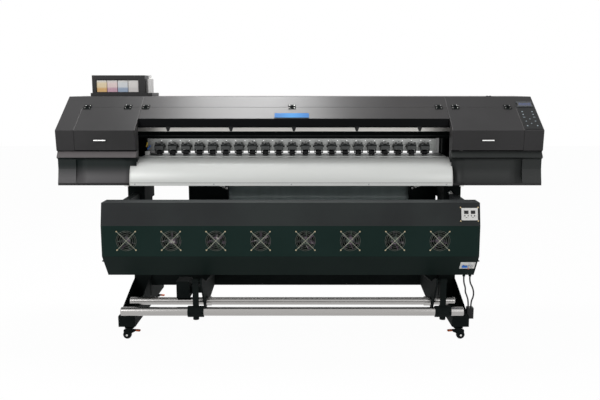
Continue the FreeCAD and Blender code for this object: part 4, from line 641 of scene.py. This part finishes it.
def make_hinge_details():
    """Black leaf covers with four bright screws on every butterfly hinge."""
    hinges = {"left_lid": (-1.286, -1.041), "front_cover": (-0.933, -0.048, 0.841),
              "right_lid": (0.941, 1.258)}
    reach, gap, lift = 0.0155, 0.0125, 0.0036
    for lid_name, places in hinges.items():
        for side, owner in ((1, "machine"), (-1, lid_name)):
            leaves, screws = [], []
            y = HINGE_Y + side * gap * SLOPE_COS
            for x in places:
                leaf = rounded_slab(0.045, reach, 0.0036, 0.003, 0.0006)
                leaves.append(placed(leaf, on_slope(x, y), ("x", SLOPE)))
                for shift in (-0.014, 0.014):
                    head = placed(bolt_head(0.0026, 0.0012), (0, 0, 0), ("y", -90), ("x", SLOPE))
                    screws.append(placed(head, on_slope(x + shift, y, lift)))
            end = "back" if side > 0 else "front"
            piece("%s_leaf_%s" % (lid_name, end), leaves, BLACK_COAT, owner)
            piece("%s_leaf_screws_%s" % (lid_name, end), screws, SCREW_STEEL, owner)


def make_seam_lines():
    """Painted highlights along the slope beside both lids and the covers: light-grey strips where the sheet
    edges catch the light.
    """
    right_low, right_high = span("right_lid")
    cover_low, cover_high = span("rear_cover")
    front, hinge, top = FRONT_Y + 0.002, -0.020, 0.077
    lines = [("left_lid", LID_HIGH[0] - 0.001, front, hinge),
             ("left_lid", LID_LOW[0] + 0.001, front, hinge),
             ("right_lid", right_low[0] + 0.001, front, hinge),
             ("right_lid", right_high[0] - 0.001, front, hinge),
             ("machine", cover_low[0] - 0.0015, -0.012, top),
             ("machine", cover_high[0] + 0.0015, -0.012, top)]
    for number, (body, x, start, end) in enumerate(lines):
        length = (end - start) / SLOPE_COS
        line = rounded_slab(0.0018, length, 0.0006, 0.0005, 0.0001, 3)
        line = placed(line, on_slope(x, (start + end) / 2), ("x", SLOPE))
        piece("seam_line_%d" % number, [line], SEAM_HIGHLIGHT, body)


def make_cover_strip():
    """Smoked strip over the upright front edge of the middle cover."""
    low, high = span("front_cover")
    bottom, top = 1.2435, EDGE_Z + (low[1] - FRONT_Y) * SLOPE_TAN - 0.002
    width, height = high[0] - low[0] - 0.002, top - bottom
    strip = rounded_slab(width, height, 0.0012, 0.0008, 0.0003, 3)
    at = (low[0] + 0.001 + width / 2, low[1], (bottom + top) / 2)
    piece("cover_smoked_strip", [placed(strip, at, ("x", 90))], SMOKED, "front_cover")


def key_mark(kind, size):
    """Raised membrane mark: a triangle, a bar or a round dot, about the origin."""
    if kind == "dot":
        return rounded_slab(size, size, 0.0007, size * 0.48, 0.0002, 6)
    if kind == "bar":
        return rounded_slab(size * 1.5, size * 0.5, 0.0007, size * 0.2, 0.0002, 4)
    turn = {"up": 0, "left": 90, "down": 180, "right": 270}[kind]
    angle = np.radians(np.array([90, 210, 330]) + turn)
    base = np.stack([np.cos(angle), np.sin(angle)], 1) * size * 0.6
    rows = [np.zeros((3, 2)), base, base, np.zeros((3, 2))]
    heights = (0.0, 0.0, 0.0007, 0.0007)
    grid = np.array([np.column_stack([row, np.full(3, z)]) for row, z in zip(rows, heights)])
    return surface(grid, wrap_v=True)


def make_panel_details():
    """Key marks of the membrane panel, laid out as a pad of arrows between two columns of keys."""
    low, high = span("control_panel")
    length = (high[1] - low[1]) / SLOPE_COS
    marks = []
    layout = [("dot", 0.2, 0.62), ("dot", 0.2, 0.52), ("bar", 0.2, 0.42),
              ("dot", 0.78, 0.62), ("dot", 0.78, 0.52), ("bar", 0.78, 0.42),
              ("up", 0.49, 0.36), ("down", 0.49, 0.2), ("left", 0.22, 0.28), ("right", 0.76, 0.28),
              ("dot", 0.2, 0.12), ("dot", 0.78, 0.12)]
    for kind, across, along in layout:
        x = low[0] + across * (high[0] - low[0])
        y = low[1] + along * length * SLOPE_COS
        marks.append(placed(key_mark(kind, 0.009), on_slope(x, y, 0.002), ("x", SLOPE)))
    piece("key_marks", marks, KEY_PRINT)
    screen_low, screen_high = span("display")
    middle = (screen_low + screen_high) / 2
    width = screen_high[0] - screen_low[0] + 0.012
    rims = []
    for shift in (0.0205, -0.0205):
        y = middle[1] + shift * SLOPE_COS
        rims.append(placed(rounded_slab(width, 0.006, 0.0045, 0.0015, 0.0006),
                           on_slope(middle[0], y, 0.002), ("x", SLOPE)))
    piece("display_bezel", rims, FRAME_GREY)


# ---------------- rollers, tubes and wheels
def make_rollers():
    """Take-up tube with its two core collars, and the dancer tube."""
    low, high = span("take_up_tube")
    left, right, axis = low[0], high[0], (low + high) / 2
    core, collar = 0.0225, (high[2] - low[2]) / 2
    steps = [(left, 0), (left, core - 0.002), (left + 0.002, core)]
    for start, end in ((-0.549, -0.519), (0.731, 0.771)):
        steps += [(start, core), (start, collar - 0.001), (start + 0.001, collar), (end - 0.001, collar),
                  (end, collar - 0.001), (end, core)]
    steps += [(right - 0.002, core), (right, core - 0.002), (right, 0)]
    shape = placed(turned(steps, 48), (0, axis[1], axis[2]))
    tube = piece("take_up_tube_skin", [shape], TUBE_STEEL, "take_up_tube")
    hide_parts("take_up_tube")

    low, high = span("dancer_tube")
    radius, half, cap = (high[2] - low[2]) / 2, (high[0] - low[0]) / 2, 0.002
    profile = [(-half, 0), (-half, radius - cap), (-half + cap, radius), (half - cap, radius),
               (half, radius - cap), (half, 0)]
    shape = placed(turned(profile, 48), (low + high) / 2)
    rod = piece("dancer_tube_skin", [shape], TUBE_STEEL, "dancer")
    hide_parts("dancer_tube")


def tyre_profile(half, radius, corner, hub):
    """Closed wheel section about its axle: rounded tread, flat sides, back to the hub radius."""
    turn = np.linspace(0, np.pi / 2, 6)
    right = np.stack([half - corner + corner * np.sin(turn), radius - corner + corner * np.cos(turn)], 1)
    left = right[::-1] * (-1, 1)
    return np.concatenate([[(-half, hub)], left, right, [(half, hub)]])


def make_wheels():
    """Black moulded wheels with five flat spokes pressed in each face."""
    for place in ("front_left", "front_right", "rear_left", "rear_right"):
        node = "caster_wheel_%s" % place
        low, high = span(node)
        centre = (low + high) / 2
        radius, half = (high[2] - low[2]) / 2, (high[1] - low[1]) / 2
        tread = tyre_profile(half, radius, 0.004, radius * 0.72)
        dish = [(-half, radius * 0.72), (-half * 0.55, radius * 0.66), (-half * 0.55, radius * 0.34),
                (-half, radius * 0.3), (-half, 0.0045), (half, 0.0045), (half, radius * 0.3),
                (half * 0.55, radius * 0.34), (half * 0.55, radius * 0.66), (half, radius * 0.72)]
        loop = np.concatenate([tread, np.array(dish)[::-1][1:-1]])
        wheel = placed(turned(np.concatenate([loop, loop[:1]]), 56), centre, ("z", 90))
        tyre = piece(node + "_tyre", [wheel], RUBBER, node)
        spokes = []
        for side in (-1, 1):
            for turn in range(5):
                spoke = rounded_slab(radius * 0.34, 0.004, 0.0022, 0.001, 0.0004, 3)
                spoke = placed(spoke, (radius * 0.5, 0, 0), ("x", 90 * side))
                spokes.append(placed(spoke, centre + np.array([0, side * half * 0.56, 0]), ("y", 72 * turn)))
        piece(node + "_spokes", spokes, SATIN_BLACK, node)
        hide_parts(node)


# ---------------- dryer: outlets, breaker, fans, bolts
UPPER_FACE = (0.717, -math.degrees(math.atan2(0.030, 0.125)))  # height of the fold, lean in degrees
LOWER_FACE = (0.543, math.degrees(math.atan2(0.110, 0.135)))


def facing(shape, across, out, up):
    """A slab or a lathe form made about the origin, turned to face -Y and moved in the panel's plane."""
    return placed(shape, (across, -out, up), ("x", 90))


def on_face(face, shape, x, z):
    """Carries a shape that faces -Y to a leaning dryer face, given as fold height and lean."""
    fold, lean = face
    y = DRYER_FACE_Y + abs(z - fold) * math.tan(math.radians(abs(lean)))
    return placed(shape, (x, y, z), ("x", lean))


def pin(radius, length, sides):
    """Plain cylinder or prism from the origin along +X."""
    return turned([(0, 0), (0, radius), (length, radius), (length, 0)], sides)


def screw_facing(radius, height):
    """Cap screw whose head points to -Y."""
    return placed(bolt_head(radius, height), (0, 0, 0), ("z", -90))


def dryer_tabs(name, face, at, front, rows, material):
    """One piece of thin rounded plates on a dryer face: each row has a plate's form and its place."""
    tabs = [on_face(face, facing(rounded_slab(*form), across, front, up), *at) for form, across, up in rows]
    piece(name, tabs, material)


def make_outlets():
    """Two outlets side by side: barred upper window, three round holes below, four plate screws."""
    at, front, window, sides = (0.943, 0.780), 0.0065, 0.0107, (-0.0175, 0.0175)
    rim = (0.092, 0.070, 0.0012, 0.002, 0.0004, 4)
    well = (0.026, 0.019, 0.0012, 0.001, 0.0003, 3)
    bar = (0.022, 0.0014, 0.0022, 0.0004, 0.0001, 3)
    hole = (0.0068, 0.0068, 0.0012, 0.0032, 0.0001, 5)
    wells = [(well, side, window) for side in sides]
    wells += [(hole, side + dx, dz) for side in sides
              for dx, dz in ((-0.0095, -0.009), (0.0095, -0.009), (0.0, -0.0195))]
    bars = [(bar, side, window + row) for side in sides for row in (-0.005, 0.0, 0.005)]
    screws = [on_face(UPPER_FACE, placed(screw_facing(0.0038, 0.0022), (dx, 0.0, dz)), *at)
              for dx in (-0.0485, 0.0485) for dz in (-0.0375, 0.0375)]
    dryer_tabs("outlet_wells", UPPER_FACE, at, front, wells, BLACK_PLASTIC)
    dryer_tabs("outlet_bars", UPPER_FACE, at, front, bars, SATIN_BLACK)
    piece("outlet_screws", screws, BRASSY)
    dryer_tabs("outlet_plate_rim", UPPER_FACE, at, 0.0, [(rim, 0, 0)], SATIN_BLACK)


def make_breaker_details():
    """Breaker front: module joints, two blue marks, an orange test button and two short bars."""
    upright, bar = (0.0008, 0.044, 0.0006, 0.0002, 0.0001, 3), (0.007, 0.0016, 0.0007, 0.0004, 0.0001, 4)
    wide, short = ((width, 0.0008, 0.0006, 0.0002, 0.0001, 3) for width in (0.071, 0.032))
    mark, button = (0.009, 0.004, 0.0008, 0.001, 0.0002, 4), (0.007, 0.006, 0.003, 0.001, 0.0004, 4)
    joints = [(upright, 0.002, 0.0), (upright, 0.019, 0.0), (wide, 0.0, 0.012), (short, 0.0195, -0.009)]
    tabs = (("breaker_joints", joints, SATIN_BLACK, "black_plastic"),
            ("breaker_marks", [(mark, dx, 0.0165) for dx in (-0.026, 0.008)], BLUE_PLASTIC, "white_plastic"),
            ("breaker_button", [(button, 0.006, -0.0155)], ORANGE_PLASTIC, "white_plastic"),
            ("breaker_bars", [(bar, dx, 0.004) for dx in (0.014, 0.026)], SATIN_BLACK, "black_plastic"))
    for name, rows, finish, slot in tabs:
        dryer_tabs(name, LOWER_FACE, (0.951, 0.480), 0.012, rows, finish)


def make_fan_screws():
    """Four cap screws through the guard feet of every fan."""
    reach = 0.0525
    heads = [placed(screw_facing(0.0034, 0.0022), (cx + dx, DRYER_FACE_Y - 0.0022, cz + dz))
             for cx, cz in FAN_CENTRES for dx in (-reach, reach) for dz in (-reach, reach)]
    piece("fan_guard_screws", heads, BRASSY)


def make_dryer_trim():
    """End seams and the wing bolts that hold the dryer at each end."""
    seams, bolts = [], []
    for x, turn in ((DRYER_LOW[0], 180), (DRYER_HIGH[0], 0)):
        inwards = 0.012 if turn else -0.012
        seams.append(placed(rounded_slab(0.001, 0.172, 0.0005, 0.0003, 0.0001, 3),
                            (x + inwards, DRYER_FACE_Y, 0.630), ("x", 90)))
        bolts += [placed(shape, (x, -0.425, 0.505), ("z", turn)) for shape in wing_knob(0.013, 0.012)]
    piece("dryer_end_seams", seams, BLACK_PLASTIC)
    piece("dryer_wing_bolts", bolts, BLACK_COAT)


# ---------------- stand details
CASTERS = {"front_left": (-1.010, -0.310, 1), "front_right": (0.940, -0.310, -1),
           "rear_left": (-1.010, 0.410, 1), "rear_right": (0.940, 0.410, -1)}
CASTER_TRAIL = 0.014


def make_caster_details():
    """Orange pad on each brake pedal, bright axle nut and the ball race ring under the foot."""
    pad = rounded_slab(0.030, 0.026, 0.006, 0.006, 0.0018, 6)
    race = turned([(-0.007, 0), (-0.007, 0.024), (-0.004, 0.028), (0.003, 0.028), (0.006, 0.022),
                   (0.006, 0)], 40)
    nut, sunk, axle_z = bolt_head(0.0065, 0.003), 0.0025, 0.025
    for place, (x, y, side) in CASTERS.items():
        body = "caster_fork_%s" % place
        low, high = span(body)
        axle_x = x - side * CASTER_TRAIL
        pads = [placed(pad, (x + side * 0.049, y, 0.0475), ("y", side * 5.5))]
        nuts = [placed(nut, (axle_x, low[1] + sunk, axle_z), ("z", -90)),
                placed(nut, (axle_x, high[1] - sunk, axle_z), ("z", 90))]
        piece("caster_pedal_pad_%s" % place, pads, ORANGE_PLASTIC, body)
        piece("caster_axle_nuts_%s" % place, nuts, SCREW_STEEL, body)
        piece("caster_race_%s" % place, [placed(race, (x, y, 0.070), ("y", 90))], BLACK_COAT,
              body)


def make_take_up_details():
    """Bolts on the dancer arm collars."""
    bolts = []
    for x in (-0.589, 0.815):
        bolts += [placed(screw_facing(0.004, 0.004), (x + dx, -0.4905, 0.215)) for dx in (-0.036, 0.036)]
        bolts.append(placed(screw_facing(0.006, 0.004), (x, -0.4665, 0.394)))
    piece("dancer_bolts", bolts, BLACK_COAT, "dancer")


def make_roll_holder_knobs():
    """Wing knobs on top of both roll holders."""
    knobs = []
    for x, lean in ((-0.502, 25), (0.752, -20)):
        for shape in wing_knob(0.020, 0.016):
            knobs.append(placed(shape, (x, 0.226, 0.838), ("z", -90), ("y", lean)))
    piece("roll_holder_knobs", knobs, SCREW_STEEL)


def make_sleeve():
    """Braided connector in front of the head of the right leg."""
    length, radius, ribs = 0.05, 0.011, 9
    along = np.linspace(0, length, ribs * 6 + 1)
    wave = radius + 0.0009 * np.cos(along / length * ribs * 2 * np.pi)
    braid = np.concatenate([[(0, 0)], np.stack([along, wave], 1), [(length, 0)]])
    sleeve, nut = turned(braid, 28), pin(0.014, 0.012, 6)
    parts = [placed(shape, (0.9488, -0.0345, 0.8038), ("y", -126)) for shape in (sleeve, nut)]
    piece("braided_connector", parts, SCREW_STEEL)


def make_bay_details():
    """Small coloured tube ends and a pump block at the left end of the bed."""
    tubes = (("yellow", -0.9490, 1.112, YELLOW_PLASTIC, 15), ("blue", -0.9435, 1.098, BLUE_PLASTIC, 40))
    for name, x, z, finish, lean in tubes:
        stub = placed(pin(0.004, 0.030, 20), (x, 0.028, z), ("y", -90 + lean))
        piece("bay_tube_%s" % name, [stub], finish)
    block_shape = placed(rounded_slab(0.026, 0.03, 0.024, 0.003, 0.001, 4), (-0.9435, 0.03, 1.0622))
    piece("bay_block", [block_shape], WHITE_PLASTIC)


def make_pinch_details():
    """Spring loops above every pinch arm."""
    top = span("pinch_arms")[1][2]
    rollers_low, rollers_high = span("pinch_rollers")
    first = (rollers_low[0] + rollers_high[0]) / 2 - (PINCH_COUNT - 1) / 2 * PINCH_PITCH
    coil, radius = np.linspace(0, 6 * 2 * np.pi, 90), 0.0032
    path = np.stack([radius * np.cos(coil), radius * np.sin(coil), coil / coil[-1] * 0.017], 1)
    springs = []
    for number in range(PINCH_COUNT):
        x = first + number * PINCH_PITCH + 0.0012
        springs.append(placed(tube_along(path, 0.0006, 5), (x, 0.0600, top - 0.0105), ("x", 14)))
    piece("pinch_springs", springs, ROLLER_STEEL, "pinch_arms")


def make_rear_screws():
    """Cap screws along the rear panels of the cabinets and of the rear cover."""
    back = MACHINE_BACK_Y
    places = [(x, z) for x in (-1.405, -0.985, 0.915, 1.405) for z in (0.925, 1.16, 1.395)]
    places += [(x, z) for x in np.linspace(-0.9, 0.83, 7) for z in (1.2, 1.395)]
    heads = [placed(placed(bolt_head(0.004, 0.0022), (0, 0, 0), ("z", 90)), (x, back, z)) for x, z in places]
    piece("rear_panel_screws", heads, SCREW_STEEL)


def make_bumps():
    """Two small black rests on top of the right cabinet, behind its lid."""
    rests = [placed(turned([(0, 0), (0, 0.008), (0.003, 0.008), (0.005, 0.005), (0.005, 0)], 24),
                    (x, 0.10, CABINET_HIGH[2]), ("y", -90)) for x in (1.162, 1.18)]
    piece("lid_rests", rests, SATIN_BLACK)


# ---------------- cords
OUTER_ROUTE = ((0.985, -0.365, 0.396), (0.985, -0.365, 0.362), (1.004, -0.352, 0.330), (1.018, -0.334, 0.296),
               (1.022, -0.316, 0.258), (1.013, -0.300, 0.226), (1.013, -0.300, 0.190))
INNER_ROUTE = ((0.950, -0.365, 0.396), (0.950, -0.365, 0.360), (0.964, -0.356, 0.326), (0.968, -0.336, 0.294),
               (0.984, -0.318, 0.262), (0.997, -0.300, 0.226), (0.997, -0.300, 0.190))
CABLE_RADIUS = 0.0045


def make_cable(name, node, route):
    """One short cable from a dryer gland down into the plug box."""
    data = bpy.data.curves.new(name, "CURVE")
    data.dimensions = "3D"
    spline = data.splines.new("NURBS")
    spline.points.add(len(route) - 1)
    spline.points.foreach_set("co", np.column_stack([np.array(route), np.ones(len(route))]).ravel())
    spline.order_u = 3
    spline.use_endpoint_u = True
    data.bevel_depth = CABLE_RADIUS
    data.bevel_resolution = 6
    data.use_fill_caps = True
    data.materials.append(CORD_SHEATH)
    cable = in_scene(name, data)
    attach(cable, "machine")
    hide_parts(node)


def make_cables():
    """Both cables from the dryer to the plug box."""
    make_cable("dryer_cable_outer", "outer_cable", OUTER_ROUTE)
    make_cable("dryer_cable_inner", "inner_cable", INNER_ROUTE)


# ---------------- plain assignment of finishes
NODE_FINISHES = {
    "charcoal_sheet": CABINET, "black_steel": BLACK_COAT, "white_plastic": WHITE_PLASTIC,
    "black_plastic": BLACK_PLASTIC, "aluminium": ALUMINIUM, "silver_guide": GUIDE,
    "polished_tube": HANDLE_STEEL, "rubber": RUBBER, "wheel_rubber": RUBBER, "blue_badge": badge_finish(),
    "ink": tank_finish(), "screen": screen_finish(), "guard_wire": guard_finish(), "media": media_finish(),
    "cable_sheath": CORD_SHEATH, "steel": ROLLER_STEEL,
}
SPECIAL_FINISHES = {
    "dryer_shell": dryer_finish(), "pinch_arms": pinch_finish(), "front_cover": COVER,
    "guide_rail": RAIL_STEEL,
    "dancer_tube": TUBE_STEEL, "take_up_tube": TUBE_STEEL, "breaker_toggle": BLUE_PLASTIC,
    "rear_cover": COVER, "encoder_strip": ENCODER,
    **{"fan_rotor_%d" % n: ROTOR for n in range(1, 9)},
}


def finish_nodes():
    """Gives every CAD node its own procedural finish, by its record slot unless listed by name."""
    slot_of = {row["node"]: row["material_slot"] for row in frame["record"]["subparts"]}
    for name, thing in NODES.items():
        chosen = SPECIAL_FINISHES.get(name, NODE_FINISHES[slot_of[name]])
        for slot in thing.material_slots:
            slot.material = chosen
        if not thing.material_slots:
            thing.data.materials.append(chosen)


# ---------------- camera, light and floor
CAMERA_PLACE = (0.037, -4.296, 1.465)
CAMERA_TILT = 81.0
CAMERA_LENS = 42.0
CAMERA_SHIFT = -0.01


def make_camera():
    """Camera in front of the machine, looking slightly down."""
    data = bpy.data.cameras.new("camera")
    data.lens = CAMERA_LENS
    data.shift_x = CAMERA_SHIFT
    camera = in_scene("camera", data)
    camera.location = CAMERA_PLACE
    camera.rotation_euler = (math.radians(CAMERA_TILT), 0, 0)
    bpy.context.scene.camera = camera


def area_lamp(name, place, aim, size, watts):
    """Soft rectangular lamp turned towards a point."""
    data = bpy.data.lights.new(name, "AREA")
    data.shape = "RECTANGLE"
    data.size, data.size_y = size
    data.energy = watts
    lamp = in_scene(name, data)
    away = np.array(place) - np.array(aim)
    lamp.location = place
    lamp.rotation_euler = (math.acos(away[2] / np.linalg.norm(away)), 0,
                           math.atan2(away[1], away[0]) + math.pi / 2)


def seen_directly(tree):
    """1 for rays from the camera, from glossy surfaces and through clear ones."""
    path = tree.nodes.new("ShaderNodeLightPath")
    rays = [Value(tree, path.outputs["Is %s Ray" % kind]) for kind in ("Camera", "Glossy", "Transmission")]
    return rays[0].maths("MAXIMUM", rays[1]).maths("MAXIMUM", rays[2])


def make_world():
    """Even white surroundings, brighter where they are seen than where they light."""
    world = bpy.data.worlds.new("studio")
    bpy.context.scene.world = world
    world.use_nodes = True
    tree = world.node_tree
    field = tree.nodes["Background"]
    bright = seen_directly(tree)
    connect(tree, field.inputs["Color"], (1.0, 1.0, 1.0))
    connect(tree, field.inputs["Strength"], bright * 0.6 + 0.4)


def make_floor():
    """White floor that keeps the shadow of the machine."""
    edge = 14.0
    corners = np.array([[(-edge, -edge, 0), (edge, -edge, 0)], [(-edge, edge, 0), (edge, edge, 0)]])
    verts, faces = surface(corners)
    mesh = bpy.data.meshes.new("floor")
    mesh.from_pydata(verts.tolist(), [], faces.tolist())
    floor = in_scene("floor", mesh)
    finish = Finish("white floor", (0.9, 0.9, 0.9), 0.8)
    tree = finish.tree
    glow = tree.nodes.new("ShaderNodeEmission")
    blend = tree.nodes.new("ShaderNodeMixShader")
    out = tree.nodes["Material Output"]
    connect(tree, blend.inputs[0], seen_directly(tree) * 0.97)
    tree.links.new(finish.shader.outputs[0], blend.inputs[1])
    tree.links.new(glow.outputs[0], blend.inputs[2])
    tree.links.new(blend.outputs[0], out.inputs["Surface"])
    mesh.materials.append(finish.material)


# ---------------- everything in order
make_camera()
make_cables()
make_world()
make_floor()
area_lamp("top lamp", (-0.45, 0.8, 3.4), (-0.4, 0.2, 1.2), (1.2, 0.9), 92)
area_lamp("front left lamp", (-3.0, -3.4, 2.8), (0, 0, 0.9), (2.0, 2.0), 60)
area_lamp("front right lamp", (2.6, -3.8, 2.2), (0.2, 0, 0.8), (2.0, 2.0), 22)
bpy.context.scene.view_settings.view_transform = "Standard"

finish_nodes()
make_guide()
make_cabinet_details()
make_hinge_details()
make_seam_lines()
make_cover_strip()
make_panel_details()
make_wheels()
make_rollers()
make_outlets()
make_breaker_details()
make_fan_screws()
make_dryer_trim()
make_caster_details()
make_take_up_details()
make_roll_holder_knobs()
make_sleeve()
make_bay_details()
make_pinch_details()
make_rear_screws()
make_bumps()
